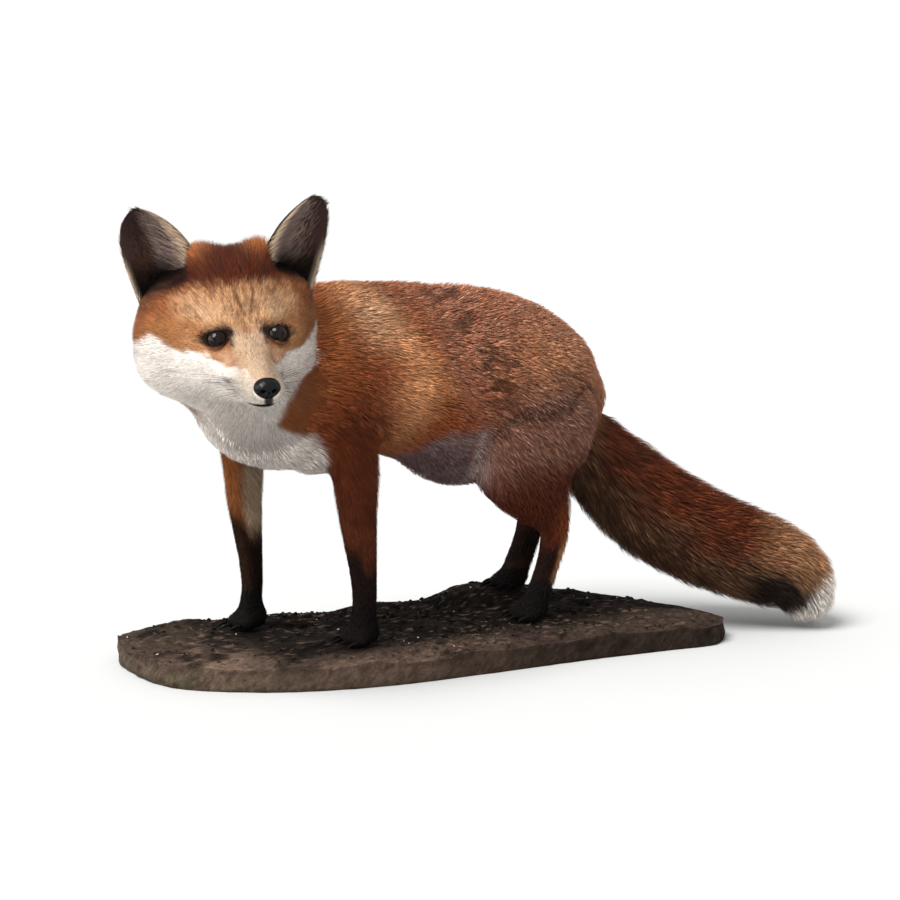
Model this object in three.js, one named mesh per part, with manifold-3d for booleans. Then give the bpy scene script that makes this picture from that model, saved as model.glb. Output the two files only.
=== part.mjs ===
// A red fox mounted in a museum pose on a slab of earth: it stands with its head turned back over
// its left shoulder, its hindquarters low and its brush trailing to the left behind the slab.
// Millimetres, +Z up. The fox faces -Y and its left is +X. The origin is the middle of the slab's
// underside. The solids reach out to the tips of the coat.

import * as THREE from 'three';
import { mergeVertices } from 'three/addons/utils/BufferGeometryUtils.js';
import Module from 'manifold-3d';

// ---- driving dimensions ----

const GAP = 0.3;                 // clear space between neighbouring pieces
const EARTH_TOP = 30;            // height of the slab's level ground
const EARTH_RIM = 7;             // how far the ground falls away towards the slab's edge
const EARTH_WAVE = 1.6;          // height of the ripples in the ground
const EARTH_EDGE = 8;            // height of the slab's upright edge
const MOUND = { x: -62, y: 116, height: 13, spread: 52 };

const HEAD_AT = [47, -239, 356];             // middle of the braincase
const HEAD_TURN = 74;                        // degrees to the fox's left
const HEAD_NOD = 10;                         // degrees down
const HEAD_TILT = -3;                        // degrees, left side up

const EYE_RADIUS = 10.5;
const EYE_AT = [28, -50, 4];                 // left eye in the head's frame
const NOSE_AT = [4, -119, -25];
const NOSE_SIZE = [13, 9, 11];

const EAR_ROOT = [54, 20, 26];               // left ear in the head's frame
const EAR_LENGTH = 95;
const EAR_OUTER = { left: 34, right: 36 };   // from the ear's axis to its outer rim, at the root
const EAR_INNER = { left: 46, right: 36 };   // and to its inner rim
const EAR_TIP_OUT = 5;                       // how far outside the axis the tip lies
const EAR_LEAN = 17;                         // degrees outwards
const EAR_TURN = { left: 31, right: 20 };    // degrees of the opening, outwards from the front
const EAR_CUP = 20;                          // depth of the cup at its widest
const EAR_WALL = 5;                          // thickness with its fur, at the middle
const EAR_RIM = 1.8;                         // and at the rims

const TOE_RADIUS = 7.5;
const TOE_STEP = 9.6;                        // between neighbouring toes
const TOE_SPLAY = 5;                         // how much further apart their tips lie
const TOE_REACH = { inner: 30, outer: 24 };  // from the wrist's ground point forwards
const CLAW_LENGTH = 11;

// ground points under the wrists and ankles, and the girth of each leg
const FEET = {
  fore_left: { x: 54, y: -106, rise: 0, girth: 1, turn: 6 },
  fore_right: { x: -68, y: -168, rise: 0, girth: 0.92, turn: -4 },
  hind_left: { x: 52, y: 97, rise: 0, girth: 1, turn: 4 },
  hind_right: { x: -40, y: 133, rise: 12, girth: 1.12, turn: -4 },
};

// Two planes part the fore body: head from neck, in the head's frame, and neck from trunk.
const NAPE_CUT = { at: [0, 38, 0], facing: [0, 0.9, -0.436] };
const SHOULDER_CUT = { at: [0, -168, 300], facing: [0, 0.96, -0.28] };

// ---- coat colours ----

const RUST = 0xa85a2c;
const BACK = 0x8a5a3c;
const BUFF = 0xb9794a;
const BLACK_FUR = 0x1f1815;
const BRUSH = 0x7a4a2c;
const EARTH = 0x3f3029;
const HORN = 0x2a211c;
const EYE_GLASS = 0x0d0806;
const NOSE_LEATHER = 0x141214;

// ---- solids ----

const wasm = await Module();
wasm.setup();

function solidOf(geometry) {
  const bare = geometry.clone();
  bare.deleteAttribute('normal');
  bare.deleteAttribute('uv');
  const merged = mergeVertices(bare);
  const vertProperties = new Float32Array(merged.attributes.position.array);
  const triVerts = new Uint32Array(merged.index.array);
  return new wasm.Manifold(new wasm.Mesh({ numProp: 3, vertProperties, triVerts }));
}

function geometryOf(solid) {
  const { vertProperties, triVerts } = solid.getMesh();
  const geometry = new THREE.BufferGeometry();
  geometry.setAttribute('position', new THREE.BufferAttribute(new Float32Array(vertProperties), 3));
  geometry.setIndex(new THREE.BufferAttribute(new Uint32Array(triVerts), 1));
  return geometry;
}

// The body left when the cutters are taken away, without the crumbs that a cut can leave.
function cut(geometry, cutters) {
  let solid = solidOf(geometry);
  for (const cutter of cutters) {
    solid = solid.subtract(solidOf(cutter));
  }
  const bodies = solid.decompose().sort((a, b) => b.volume() - a.volume());
  return geometryOf(bodies[0]);
}

function joined(geometries) {
  const [first, ...rest] = geometries.map(solidOf);
  return geometryOf(rest.reduce((whole, solid) => whole.add(solid), first));
}

function moved(geometry, matrix) {
  return geometry.clone().applyMatrix4(matrix);
}

// A copy with every point pushed out a little over the gap, along the surface's normal.
function grown(geometry) {
  const PUSH = 1.3 * GAP;
  const copy = geometry.clone();
  copy.computeVertexNormals();
  const { position, normal } = copy.attributes;
  const point = new THREE.Vector3();
  const outward = new THREE.Vector3();
  for (let i = 0; i < position.count; i += 1) {
    point.fromBufferAttribute(position, i);
    outward.fromBufferAttribute(normal, i);
    point.addScaledVector(outward, PUSH);
    position.setXYZ(i, point.x, point.y, point.z);
  }
  copy.deleteAttribute('normal');
  return copy;
}

// ---- bodies carried along a spine ----

// Closes rings of equally many points into one body, with a fan at each end.
function closedBody(rings, startPoint, endPoint) {
  const sides = rings[0].length;
  const points = [startPoint, ...rings.flat(), endPoint];
  const last = points.length - 1;
  const faces = [];
  for (let side = 0; side < sides; side += 1) {
    const next = (side + 1) % sides;
    faces.push(0, 1 + side, 1 + next);
    for (let ring = 0; ring < rings.length - 1; ring += 1) {
      const here = 1 + ring * sides;
      const ahead = here + sides;
      faces.push(here + side, ahead + side, ahead + next);
      faces.push(here + side, ahead + next, here + next);
    }
    const end = 1 + (rings.length - 1) * sides;
    faces.push(last, end + next, end + side);
  }
  const geometry = new THREE.BufferGeometry().setFromPoints(points);
  geometry.setIndex(faces);
  return outwards(geometry);
}

// Turns every face over if the body is inside out.
function outwards(geometry) {
  const index = geometry.index.array;
  const corner = [new THREE.Vector3(), new THREE.Vector3(), new THREE.Vector3()];
  let volume = 0;
  for (let i = 0; i < index.length; i += 3) {
    corner.forEach((point, k) => point.fromBufferAttribute(geometry.attributes.position, index[i + k]));
    volume += corner[0].dot(corner[1].cross(corner[2]));
  }
  if (volume < 0) {
    for (let i = 0; i < index.length; i += 3) {
      [index[i + 1], index[i + 2]] = [index[i + 2], index[i + 1]];
    }
  }
  return geometry;
}

const blend = (a, b, share) => a + (b - a) * share;

// A station is [x, y, z, half width, reach above, reach below, squareness below and above]: the
// spine's point and the section there, a superellipse with its own upper and lower half. Between
// stations all of it runs on smooth curves. Both ends are rounded over the given shares. Sections
// stand square to the spine, or to a fixed heading.
function loft(stations, options) {
  const { sides, rings, roundStart = 0.1, roundEnd = 0.1, endRings = 2, across = null } = options;
  const { heading = null, grow = 0 } = options;
  const curve = (pick) => {
    const points = stations.map((s) => new THREE.Vector3(...pick(s)));
    return new THREE.CatmullRomCurve3(points, false, 'catmullrom', 0.5);
  };
  const spine = curve((s) => s.slice(0, 3));
  const reach = curve((s) => s.slice(3, 6));
  const squareness = (share) => {
    const place = share * (stations.length - 1);
    const low = Math.min(Math.floor(place), stations.length - 2);
    const below = (s) => s[6] ?? 2;
    const above = (s) => s[7] ?? below(s);
    return [below, above].map((pick) => blend(pick(stations[low]), pick(stations[low + 1]), place - low));
  };
  const steps = [];
  for (let i = 1; i < endRings; i += 1) {
    const turn = (i / endRings) * (Math.PI / 2);
    steps.push({ share: roundStart * (1 - Math.cos(turn)), size: Math.sin(turn), lean: -Math.cos(turn) });
  }
  for (let i = 0; i <= rings; i += 1) {
    steps.push({ share: blend(roundStart, 1 - roundEnd, i / rings), size: 1, lean: 0 });
  }
  for (let i = endRings - 1; i > 0; i -= 1) {
    const turn = (i / endRings) * (Math.PI / 2);
    steps.push({ share: 1 - roundEnd * (1 - Math.cos(turn)), size: Math.sin(turn), lean: Math.cos(turn) });
  }
  const frameAt = (share) => {
    const along = heading ? new THREE.Vector3(...heading) : spine.getTangent(share);
    const fixed = across ? new THREE.Vector3(...across) : new THREE.Vector3(0, 0, 1);
    const kept = fixed.addScaledVector(along, -fixed.dot(along)).normalize();
    const other = new THREE.Vector3();
    if (across) {
      return { along, side: kept, above: other.crossVectors(along, kept) };
    }
    return { along, side: other.crossVectors(kept, along), above: kept };
  };
  const ringPoints = steps.map(({ share, size, lean }) => {
    const { along, side, above } = frameAt(share);
    const centre = spine.getPoint(share).addScaledVector(along, lean * grow);
    const [half, top, bottom] = reach.getPoint(share).toArray();
    const powers = squareness(share).map((square) => 2 / square);
    return Array.from({ length: sides }, (_, i) => {
      const angle = (2 * Math.PI * i) / sides;
      const [c, s] = [Math.cos(angle), Math.sin(angle)];
      const power = powers[s > 0 ? 1 : 0];
      const sideways = (half * size + grow) * Math.sign(c) * Math.abs(c) ** power;
      const upwards = ((s > 0 ? top : bottom) * size + grow) * Math.sign(s) * Math.abs(s) ** power;
      return centre.clone().addScaledVector(side, sideways).addScaledVector(above, upwards);
    });
  });
  const start = spine.getPoint(0).addScaledVector(frameAt(0).along, -grow);
  const end = spine.getPoint(1).addScaledVector(frameAt(1).along, grow);
  return closedBody(ringPoints, start, end);
}

const ball = (radius) => new THREE.SphereGeometry(radius, 10, 7);

// ---- the head, in its own frame: the muzzle points to -Y, the left side is +X ----

const HEAD_STATIONS = [
  [-2, 66, -6, 40, 40, 44],
  [-4, 44, -5, 76, 64, 62, 2, 2],
  [-5, 22, -6, 88, 82, 76, 2.3, 2.1],
  [-5, 2, -7, 92, 82, 76, 2.4, 2.1],
  [-5, -18, -9, 87, 71, 70, 2.3, 2],
  [-4, -32, -11, 73, 55, 60, 2.2, 2],
  [-2, -44, -13, 57, 40, 51, 2.1],
  [0, -54, -17, 43, 29, 43, 2.1],
  [0, -65, -20, 33, 23, 36, 2.2],
  [1, -79, -24, 26, 20, 30, 2.3],
  [2, -96, -27, 21, 18, 25, 2.4],
  [4, -110, -29, 18, 16, 21, 2.4],
  [5, -122, -30, 14, 13, 17, 2.4],
];

const headBody = (grow = 0) => loft(HEAD_STATIONS, {
  sides: 24, rings: 21, roundStart: 0.08, roundEnd: 0.045, heading: [0, -1, 0], grow,
});

function noseBody(grow = 0) {
  const [width, depth, height] = NOSE_SIZE.map((size) => size + grow);
  return ball(1).rotateX(Math.PI / 2).scale(width, depth, height).translate(...NOSE_AT);
}

const eyeBody = (side, grow = 0) =>
  ball(EYE_RADIUS + grow).translate(side * EYE_AT[0], EYE_AT[1], EYE_AT[2]);

// The ear is a cup: its section is a bow, open to the front, thinnest at the rims. The outer rim
// rises almost straight, and the inner rim slopes up to meet it in a round tip on the outer side.
function earBody(side) {
  const outer = side > 0 ? EAR_OUTER.left : EAR_OUTER.right;
  const inner = side > 0 ? EAR_INNER.left : EAR_INNER.right;
  const turn = side > 0 ? EAR_TURN.left : EAR_TURN.right;
  const RINGS = 8;
  const ACROSS = 6;
  const outerRim = (share) => EAR_TIP_OUT + (outer - EAR_TIP_OUT) * Math.sqrt(1 - share ** 4);
  const innerRim = (share) => EAR_TIP_OUT - (inner + EAR_TIP_OUT) * (1 - share ** 3) ** 0.8;
  const rings = [];
  for (let ring = 0; ring <= RINGS; ring += 1) {
    const share = 0.99 * (ring / RINGS) ** 0.85;
    const middle = (outerRim(share) + innerRim(share)) / 2;
    const half = (outerRim(share) - innerRim(share)) / 2;
    const cup = EAR_CUP * Math.sqrt((2 * half) / (outer + inner)) * (1 - 0.45 * share);
    const front = [];
    const rear = [];
    for (let i = 0; i <= ACROSS; i += 1) {
      const place = (2 * i) / ACROSS - 1;
      const bow = cup * (1 - place * place);
      const wall = blend(EAR_RIM, EAR_WALL, 1 - place * place);
      const x = side * (middle + place * half);
      front.push(new THREE.Vector3(x, bow, share * EAR_LENGTH));
      rear.push(new THREE.Vector3(x, bow + wall, share * EAR_LENGTH));
    }
    rings.push([...front, ...rear.reverse()]);
  }
  const geometry = bowlBody(rings);
  geometry.rotateZ(THREE.MathUtils.degToRad(side * turn));
  geometry.rotateY(THREE.MathUtils.degToRad(side * EAR_LEAN));
  return geometry.translate(side * EAR_ROOT[0], EAR_ROOT[1], EAR_ROOT[2]);
}

// Closes rings whose first half faces their second half, with a strip at each end.
function bowlBody(rings) {
  const sides = rings[0].length;
  const faces = [];
  for (let ring = 0; ring < rings.length - 1; ring += 1) {
    for (let side = 0; side < sides; side += 1) {
      const here = ring * sides;
      const next = (side + 1) % sides;
      faces.push(here + side, here + sides + side, here + sides + next);
      faces.push(here + side, here + sides + next, here + next);
    }
  }
  const strip = (start, flip) => {
    for (let i = 0; i < sides / 2 - 1; i += 1) {
      const [a, b, c, d] = [i, i + 1, sides - 2 - i, sides - 1 - i].map((k) => start + k);
      faces.push(...(flip ? [a, c, b, a, d, c] : [a, b, c, a, c, d]));
    }
  };
  strip(0, false);
  strip((rings.length - 1) * sides, true);
  const geometry = new THREE.BufferGeometry().setFromPoints(rings.flat());
  geometry.setIndex(faces);
  return outwards(geometry);
}

// ---- trunk, neck and brush ----

const TRUNK_STATIONS = [
  [0, -216, 262, 52, 52, 54],
  [0, -176, 288, 66, 82, 84],
  [0, -120, 292, 71, 96, 92],
  [0, -55, 292, 72, 93, 80],
  [0, 5, 290, 73, 91, 113],
  [0, 65, 285, 73, 88, 116],
  [0, 115, 274, 71, 79, 94],
  [0, 158, 256, 65, 62, 74],
  [0, 206, 226, 50, 46, 50],
];

const NECK_STATIONS = [
  [0, -110, 298, 54, 56, 64],
  [0, -155, 296, 67, 80, 86],
  [8, -200, 300, 71, 80, 84],
  [24, -236, 318, 70, 72, 70],
  [42, -250, 338, 60, 56, 58],
];

// The brush hangs from the rump, trails to the left and ends a hair above the floor.
const TAIL_STATIONS = [
  [0, 150, 246, 26, 26, 26],
  [0, 196, 202, 36, 38, 38],
  [6, 230, 162, 47, 49, 45],
  [22, 270, 122, 54, 55, 48],
  [48, 314, 92, 55, 55, 46],
  [80, 356, 73, 51, 51, 44],
  [106, 387, 58, 45, 46, 40],
  [122, 402, 36, 34, 36, 30],
  [127, 405, 6, 17, 18, 18],
];

const trunkBody = () => loft(TRUNK_STATIONS, { sides: 22, rings: 12, roundEnd: 0.14 });
const neckBody = () => loft(NECK_STATIONS, { sides: 22, rings: 6, roundStart: 0.12, roundEnd: 0.16 });
const tailBody = (grow = 0) => loft(TAIL_STATIONS, {
  sides: 15, rings: 14, roundStart: 0.08, roundEnd: 0.06, grow,
});

// ---- legs, each in a frame at its foot's ground point ----

const FORELEG_STATIONS = [
  [-14, -16, 250, 18, 34, 34],
  [-6, -11, 210, 22, 33, 31],
  [-1, -8, 172, 20.5, 26, 26],
  [0, -7, 130, 18, 21.5, 21.5],
  [0, -2, 89, 15.5, 17, 17],
  [0, 1, 50, 13.5, 14, 14],
  [0, -1, 24, 14, 15, 14],
  [0, -3, 9, 12, 12, 12],
];

const HINDLEG_STATIONS = [
  [-12, 32, 262, 28, 48, 52],
  [-6, 18, 222, 39, 62, 64],
  [-3, 6, 186, 38, 77, 62],
  [-1, -1, 158, 33, 72, 56],
  [0, 5, 136, 26, 48, 44],
  [0, 17, 118, 20, 31, 32],
  [0, 28, 98, 15.5, 20, 19],
  [0, 23, 70, 14, 15, 15],
  [0, 13, 42, 13.5, 14, 14],
  [0, 4, 22, 14, 15, 14],
  [0, 0, 9, 12, 12, 12],
];

function legBody(name, grow = 0) {
  const { girth } = FEET[name];
  const stations = name.startsWith('fore') ? FORELEG_STATIONS : HINDLEG_STATIONS;
  const scaled = stations.map(([x, y, z, ...reach]) => [
    name.endsWith('left') ? x : -x, y, z, ...reach.map((size) => size * girth),
  ]);
  return loft(scaled, {
    sides: 12, rings: stations.length, roundStart: 0.08, roundEnd: 0.04, across: [1, 0, 0], grow,
  });
}

// The four toes spread a little, the middle pair furthest forward.
const TOES = [-1.5, -0.5, 0.5, 1.5].map((place) => ({
  x: place * TOE_STEP,
  spread: place * TOE_SPLAY,
  tip: Math.abs(place) < 1 ? -TOE_REACH.inner : -TOE_REACH.outer,
}));

function pawBody() {
  const palm = loft([
    [0, 17, 12, 11, 10, 11],
    [0, 4, 13, 16, 15, 13],
    [0, -18, 10, 16, 10, 10],
  ], { sides: 10, rings: 2, roundStart: 0.2, roundEnd: 0.15 });
  const toes = TOES.map(({ x, spread, tip }) => loft([
    [x * 0.9, -9, 10, TOE_RADIUS, TOE_RADIUS, 9],          // where it leaves the palm
    [x, tip + 12, 9, TOE_RADIUS, TOE_RADIUS + 1.5, 9],     // its knuckle
    [x + spread * 0.3, tip, 7, TOE_RADIUS - 1, 6, 7],      // its tip
  ], { sides: 6, rings: 2, roundStart: 0, roundEnd: 0.22, endRings: 1 }));
  return joined([palm, ...toes]);
}

// A claw leaves the toe's tip, runs level for half its length and then curves down to a point.
function clawBody({ x, spread, tip }) {
  return loft([
    [x + spread * 0.25, tip + 3, 8.5, 1.8, 2, 2],
    [x + spread * 0.35, tip - 0.5 * CLAW_LENGTH + 3, 7.8, 1.6, 1.8, 1.8],
    [x + spread * 0.5, tip - CLAW_LENGTH + 3, 4.2, 0.8, 0.9, 0.9],
  ], { sides: 4, rings: 2, roundStart: 0.1, roundEnd: 0.2, endRings: 1 });
}

// ---- the slab of earth ----

// Half of the outline runs along the fox's left, from the front to the rear corner, and half back
// along its right. It is one closed smooth curve.
const SLAB_OUTLINE = [
  [-20, -298], [28, -268], [74, -200], [104, -110], [116, 0], [124, 120], [136, 215], [141, 266],
  [112, 298], [58, 294], [0, 270], [-68, 224], [-106, 130], [-116, 50], [-122, -50], [-142, -150],
  [-156, -222], [-150, -274], [-98, -298],
];

function groundHeight(x, y, share) {
  const ripple = Math.sin(x * 0.061 + 1.3) * Math.cos(y * 0.047) + 0.6 * Math.sin(x * 0.11 - y * 0.083);
  const away = Math.hypot(x - MOUND.x, (y - MOUND.y) * 0.8) / MOUND.spread;
  const mound = MOUND.height * Math.exp(-(away ** 4));
  return EARTH_TOP + EARTH_WAVE * ripple + mound - EARTH_RIM * share ** 9;
}

function slabBody() {
  const AROUND = 36;
  const RINGS = 6;
  const STEEPEST = 0.94 * (Math.PI / 2);       // rings crowd towards the rim like a sine's top
  const outline = new THREE.CatmullRomCurve3(
    SLAB_OUTLINE.map(([x, y]) => new THREE.Vector3(x, y, 0)), true, 'catmullrom', 0.5,
  ).getSpacedPoints(AROUND).slice(0, AROUND);
  const ringAt = (share, height) => outline.map((point) => {
    const [x, y] = [point.x * share, point.y * share];
    return new THREE.Vector3(x, y, height(x, y, share));
  });
  const rings = [ringAt(0.992, () => 0), ringAt(1, () => EARTH_EDGE)];
  for (let ring = RINGS; ring > 0; ring -= 1) {
    const share = Math.sin((ring / RINGS) * STEEPEST) / Math.sin(STEEPEST);
    rings.push(ringAt(share, groundHeight));
  }
  const middle = new THREE.Vector3(0, 0, groundHeight(0, 0, 0));
  return closedBody(rings, new THREE.Vector3(0, 0, 0), middle);
}

// ---- the parts in their places ----

const finish = (colour, roughness, metalness = 0) =>
  new THREE.MeshStandardMaterial({ color: colour, roughness, metalness });

function piece(name, geometry, material) {
  const mesh = new THREE.Mesh(geometry, material);
  mesh.name = name;
  return mesh;
}

function headPlace() {
  const group = new THREE.Group();
  group.position.set(...HEAD_AT);
  const [nod, tilt, turn] = [HEAD_NOD, HEAD_TILT, HEAD_TURN].map(THREE.MathUtils.degToRad);
  group.rotation.set(nod, tilt, turn, 'ZXY');
  group.updateMatrix();
  return group;
}

function footPlace(name) {
  const group = new THREE.Group();
  group.position.set(FEET[name].x, FEET[name].y, EARTH_TOP + FEET[name].rise);
  group.updateMatrix();
  return group;
}

const fox = new THREE.Group();
const head = headPlace();

// A block that fills everything on one side of a plane, from half a gap before the plane.
function blockBeyond({ at, facing }, side) {
  const SIZE = 1600;
  const normal = new THREE.Vector3(...facing).normalize().multiplyScalar(side);
  const block = new THREE.BoxGeometry(SIZE, SIZE, SIZE).translate(0, 0, SIZE / 2 - GAP / 2);
  block.applyQuaternion(new THREE.Quaternion().setFromUnitVectors(new THREE.Vector3(0, 0, 1), normal));
  return block.translate(...at);
}

fox.add(head);
const paws = [];
const legs = [];
for (const name of Object.keys(FEET)) {
  const foot = footPlace(name);
  const paw = new THREE.Group();
  paw.rotation.z = THREE.MathUtils.degToRad(FEET[name].turn);
  paw.updateMatrix();
  const pawCopy = grown(pawBody());
  paw.add(piece(`paw_${name}`, pawBody(), finish(BLACK_FUR, 0.9)));
  for (const [number, toe] of TOES.entries()) {
    paw.add(piece(`claw_${name}_${number + 1}`, cut(clawBody(toe), [pawCopy]), finish(HORN, 0.4)));
  }
  const pawCutter = moved(pawCopy, paw.matrix);
  const tailCutter = moved(tailBody(GAP), foot.matrix.clone().invert());
  const leg = cut(legBody(name), [pawCutter, tailCutter]);
  foot.add(piece(`leg_${name}`, leg, finish(name.startsWith('fore') ? RUST : BACK, 0.9)));
  foot.add(paw);
  fox.add(foot);
  paws.push(moved(pawCutter, foot.matrix));
  legs.push(moved(legBody(name, GAP), foot.matrix));
}

const inRow = (geometry) => moved(geometry, head.matrix);
const inHead = (geometry) => moved(geometry, head.matrix.clone().invert());
const sockets = [eyeBody(1, GAP), eyeBody(-1, GAP), noseBody(GAP)].map(inRow);
const whole = joined([inRow(headBody()), neckBody(), trunkBody()]);
const body = cut(whole, [...sockets, ...legs, tailBody(GAP)]);
const napePlane = (side) => inRow(blockBeyond(NAPE_CUT, side));
const trunkSolid = cut(body, [blockBeyond(SHOULDER_CUT, -1)]);
const foreBody = cut(body, [blockBeyond(SHOULDER_CUT, 1)]);
const headSolid = cut(foreBody, [napePlane(1)]);
const neckSolid = cut(foreBody, [napePlane(-1)]);

head.add(piece('head', inHead(headSolid), finish(BUFF, 0.9)));
head.add(piece('nose', noseBody(), finish(NOSE_LEATHER, 0.35)));
for (const [side, word] of [[1, 'left'], [-1, 'right']]) {
  head.add(piece(`eye_${word}`, eyeBody(side), finish(EYE_GLASS, 0.08)));
  head.add(piece(`ear_${word}`, cut(earBody(side), [headBody(GAP)]), finish(BLACK_FUR, 0.9)));
}
fox.add(piece('neck', neckSolid, finish(RUST, 0.9)));
fox.add(piece('trunk', trunkSolid, finish(BACK, 0.9)));
fox.add(piece('tail', tailBody(), finish(BRUSH, 0.9)));
fox.add(piece('base', cut(slabBody(), [...paws, tailBody(GAP)]), finish(EARTH, 0.95)));

export default fox;
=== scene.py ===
"""A mounted red fox on a slab of earth: one skin under a coat of solid tufts, glass eyes, a waxed
nose, horn claws and whiskers. Run as a script in Blender, it builds every piece in metres around the
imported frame. Sizes inside the shape functions are millimetres. The fox faces -Y, its left is +X."""

import bmesh
import bpy
import numpy as np
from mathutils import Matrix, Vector
from mathutils.bvhtree import BVHTree


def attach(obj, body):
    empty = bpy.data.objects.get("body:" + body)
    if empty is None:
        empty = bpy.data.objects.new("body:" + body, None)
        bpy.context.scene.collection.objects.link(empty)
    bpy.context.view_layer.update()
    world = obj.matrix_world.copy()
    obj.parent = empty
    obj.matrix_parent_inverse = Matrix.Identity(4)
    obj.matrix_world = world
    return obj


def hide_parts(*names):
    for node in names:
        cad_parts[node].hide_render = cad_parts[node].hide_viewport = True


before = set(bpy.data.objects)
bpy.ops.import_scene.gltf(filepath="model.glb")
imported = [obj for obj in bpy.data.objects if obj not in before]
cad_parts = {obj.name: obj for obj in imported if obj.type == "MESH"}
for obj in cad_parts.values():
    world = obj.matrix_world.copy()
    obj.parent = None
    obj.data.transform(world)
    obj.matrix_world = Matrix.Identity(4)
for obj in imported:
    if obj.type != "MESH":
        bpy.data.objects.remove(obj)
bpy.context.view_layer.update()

bl_info = {
    "name": "Mounted red fox",
    "version": (1, 0, 0),
    "blender": (4, 5, 0),
    "location": "3D View > Sidebar > Fox",
    "description": "Builds a life-size mounted red fox on its slab of earth",
    "category": "Object",
}

MM = 0.001
TINT = "Tint"
SIDES = (("left", 1), ("right", -1))

# Each foot's place on the ground across and along, how far its ground is raised, and its turn.
FEET = {
    "fore_left": (54, -106, 0, 6),
    "fore_right": (-68, -168, 0, -4),
    "hind_left": (52, 97, 0, 4),
    "hind_right": (-40, 133, 12, -4),
}
EARTH_TOP = 30
FLESH = ["head", "neck", "trunk", "tail"]
FLESH += ["leg_" + foot for foot in FEET]
FLESH += ["paw_" + foot for foot in FEET]
FILLERS = ["eye_left", "eye_right", "nose"]
KINDS = ("head", "neck", "trunk", "tail", "fore", "hind", "paw", "ear")
NECK_PATH = [(42, -250, 338), (24, -236, 318), (8, -200, 300), (0, -155, 296), (0, -110, 298)]
TAIL_PATH = [
    (0, 150, 246), (0, 196, 202), (6, 230, 162), (22, 270, 122), (48, 314, 92),
    (80, 356, 73), (106, 387, 58), (122, 402, 36), (127, 405, 6),
]  # fmt: skip

# The fold between the flank and either thigh, and the groin below it, seen from the side.
CREASE = [
    (0, 24, 205), (0, 32, 226), (0, 50, 244), (0, 72, 250), (0, 90, 247), (0, 108, 252),
    (0, 127, 258), (0, 146, 270),
]  # fmt: skip
GROIN = [(0, 25, 234), (0, 26, 207), (0, 27, 180)]

# The skin lies at this share of the coat's depth, and is sunk in this many steps. A tuft's root is
# this deep in the skin.
SUNK = 0.55
SINK_STEPS = 6
ROOT_DEPTH = 0.5

# In the head's own frame, where the face looks along -y and z is up: the eyes, the nose, the
# midline's shift by y, and the lips.
EYE_AT = np.array([28.0, -50.0, 4.0])
EYE_RADIUS = 10.0
NOSE_AT = np.array([4.0, -119.0, -25.0])
MIDLINE = ([-122, -96, -54, -18, 66], [5, 2, 0, -5, -3])
MOUTH_LINE = [
    (0, -124, -39), (8, -119, -41), (14, -110, -42), (19, -96, -42), (24, -78, -41), (28, -66, -37),
]  # fmt: skip

# Each ear's root, height, turn outwards and half widths by its side. Its grid ends at EAR_END of
# the height. The front stands EAR_FRONT off, and the wall is EAR_RIM thick, more by EAR_SWELL inside.
EAR_ROOT = np.array([54.0, 20.0, 26.0])
EAR_HEIGHT = 94
EAR_TURN = {1: 31, -1: 20}
EAR_OUTER = {1: 34, -1: 36}
EAR_INNER = {1: 46, -1: 36}
EAR_END = 0.985
EAR_FRONT = 0.5
EAR_RIM = 1.1
EAR_SWELL = 1.5

# The carved humps and hollows of the face, as height, centre and radii: those that both halves
# share, and those of one place only.
EVEN_HUMPS = (
    (3.8, (23, -46, 20), (13, 11, 6)),
    (-2.6, (0, -50, 14), (7, 14, 14)),
    (-1.8, (31, -54, 5), (16, 9, 9)),
    (2.4, (42, -50, -12), (14, 12, 9)),
    (-3.4, (20, -68, -11), (7, 12, 8)),
    (2.4, (15, -104, -31), (9, 13, 8)),
    (-2.0, (21, -84, -18), (7, 12, 6)),
    (-1.2, (0, -122, -37.5), (1.0, 8, 3.5)),
)
ODD_HUMPS = (
    (8, (-33, 8, 76), (13, 16, 16)),
    (24, (27, 4, 80), (13, 16, 16)),
    (-3, (-6, 6, 80), (13, 20, 14)),
    (1, (-88, 4, 2), (14, 26, 24)),
    (-10, (84, -8, -10), (26, 36, 42)),
    (9, (-44, 6, 70), (12, 14, 14)),
    (19, (40, 4, 76), (12, 14, 14)),
    (3.5, (-84, 0, -36), (16, 26, 22)),
    (-12, (-46, -5, -92), (32, 38, 24)),
)

# The white cheek's upper edge by distance from the midline, the dark marks in the white as centre,
# radii and strength, and the dark lines of the brow as path, width and strength.
CHEEK_EDGE = (
    [0, 22, 28, 32, 45, 58, 68, 72, 77, 86, 92, 96],
    [-34, -20, -14, -9, -7, -5, -2, 2, 3, -6, -14, -24],
)
CHEEK_MARKS = (
    ((24, -80, -27), (6, 9, 2.6), 0.62),
    ((21, -90, -33), (3, 7, 1.5), 0.45),
    ((66, -38, -27), (11, 8, 1.6), 0.4),
    ((30, -66, -33), (9, 9, 1.6), 0.35),
)
BROW_LINES = (
    ([(-7, -33, 40), (-4, -40, 31), (-1, -47, 22), (1, -55, 11)], 2.3, 0.85),
    ([(11, -34, 40), (7, -42, 29), (4, -49, 19)], 2.0, 0.8),
    ([(3, -34, 38), (2, -44, 26)], 1.6, 0.5),
)

# Each row of whiskers: its height, its foremost root and how many it has.
WHISKER_ROWS = ((-24, -103, 4), (-29, -108, 5), (-33, -106, 5), (-37, -100, 3))

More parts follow.
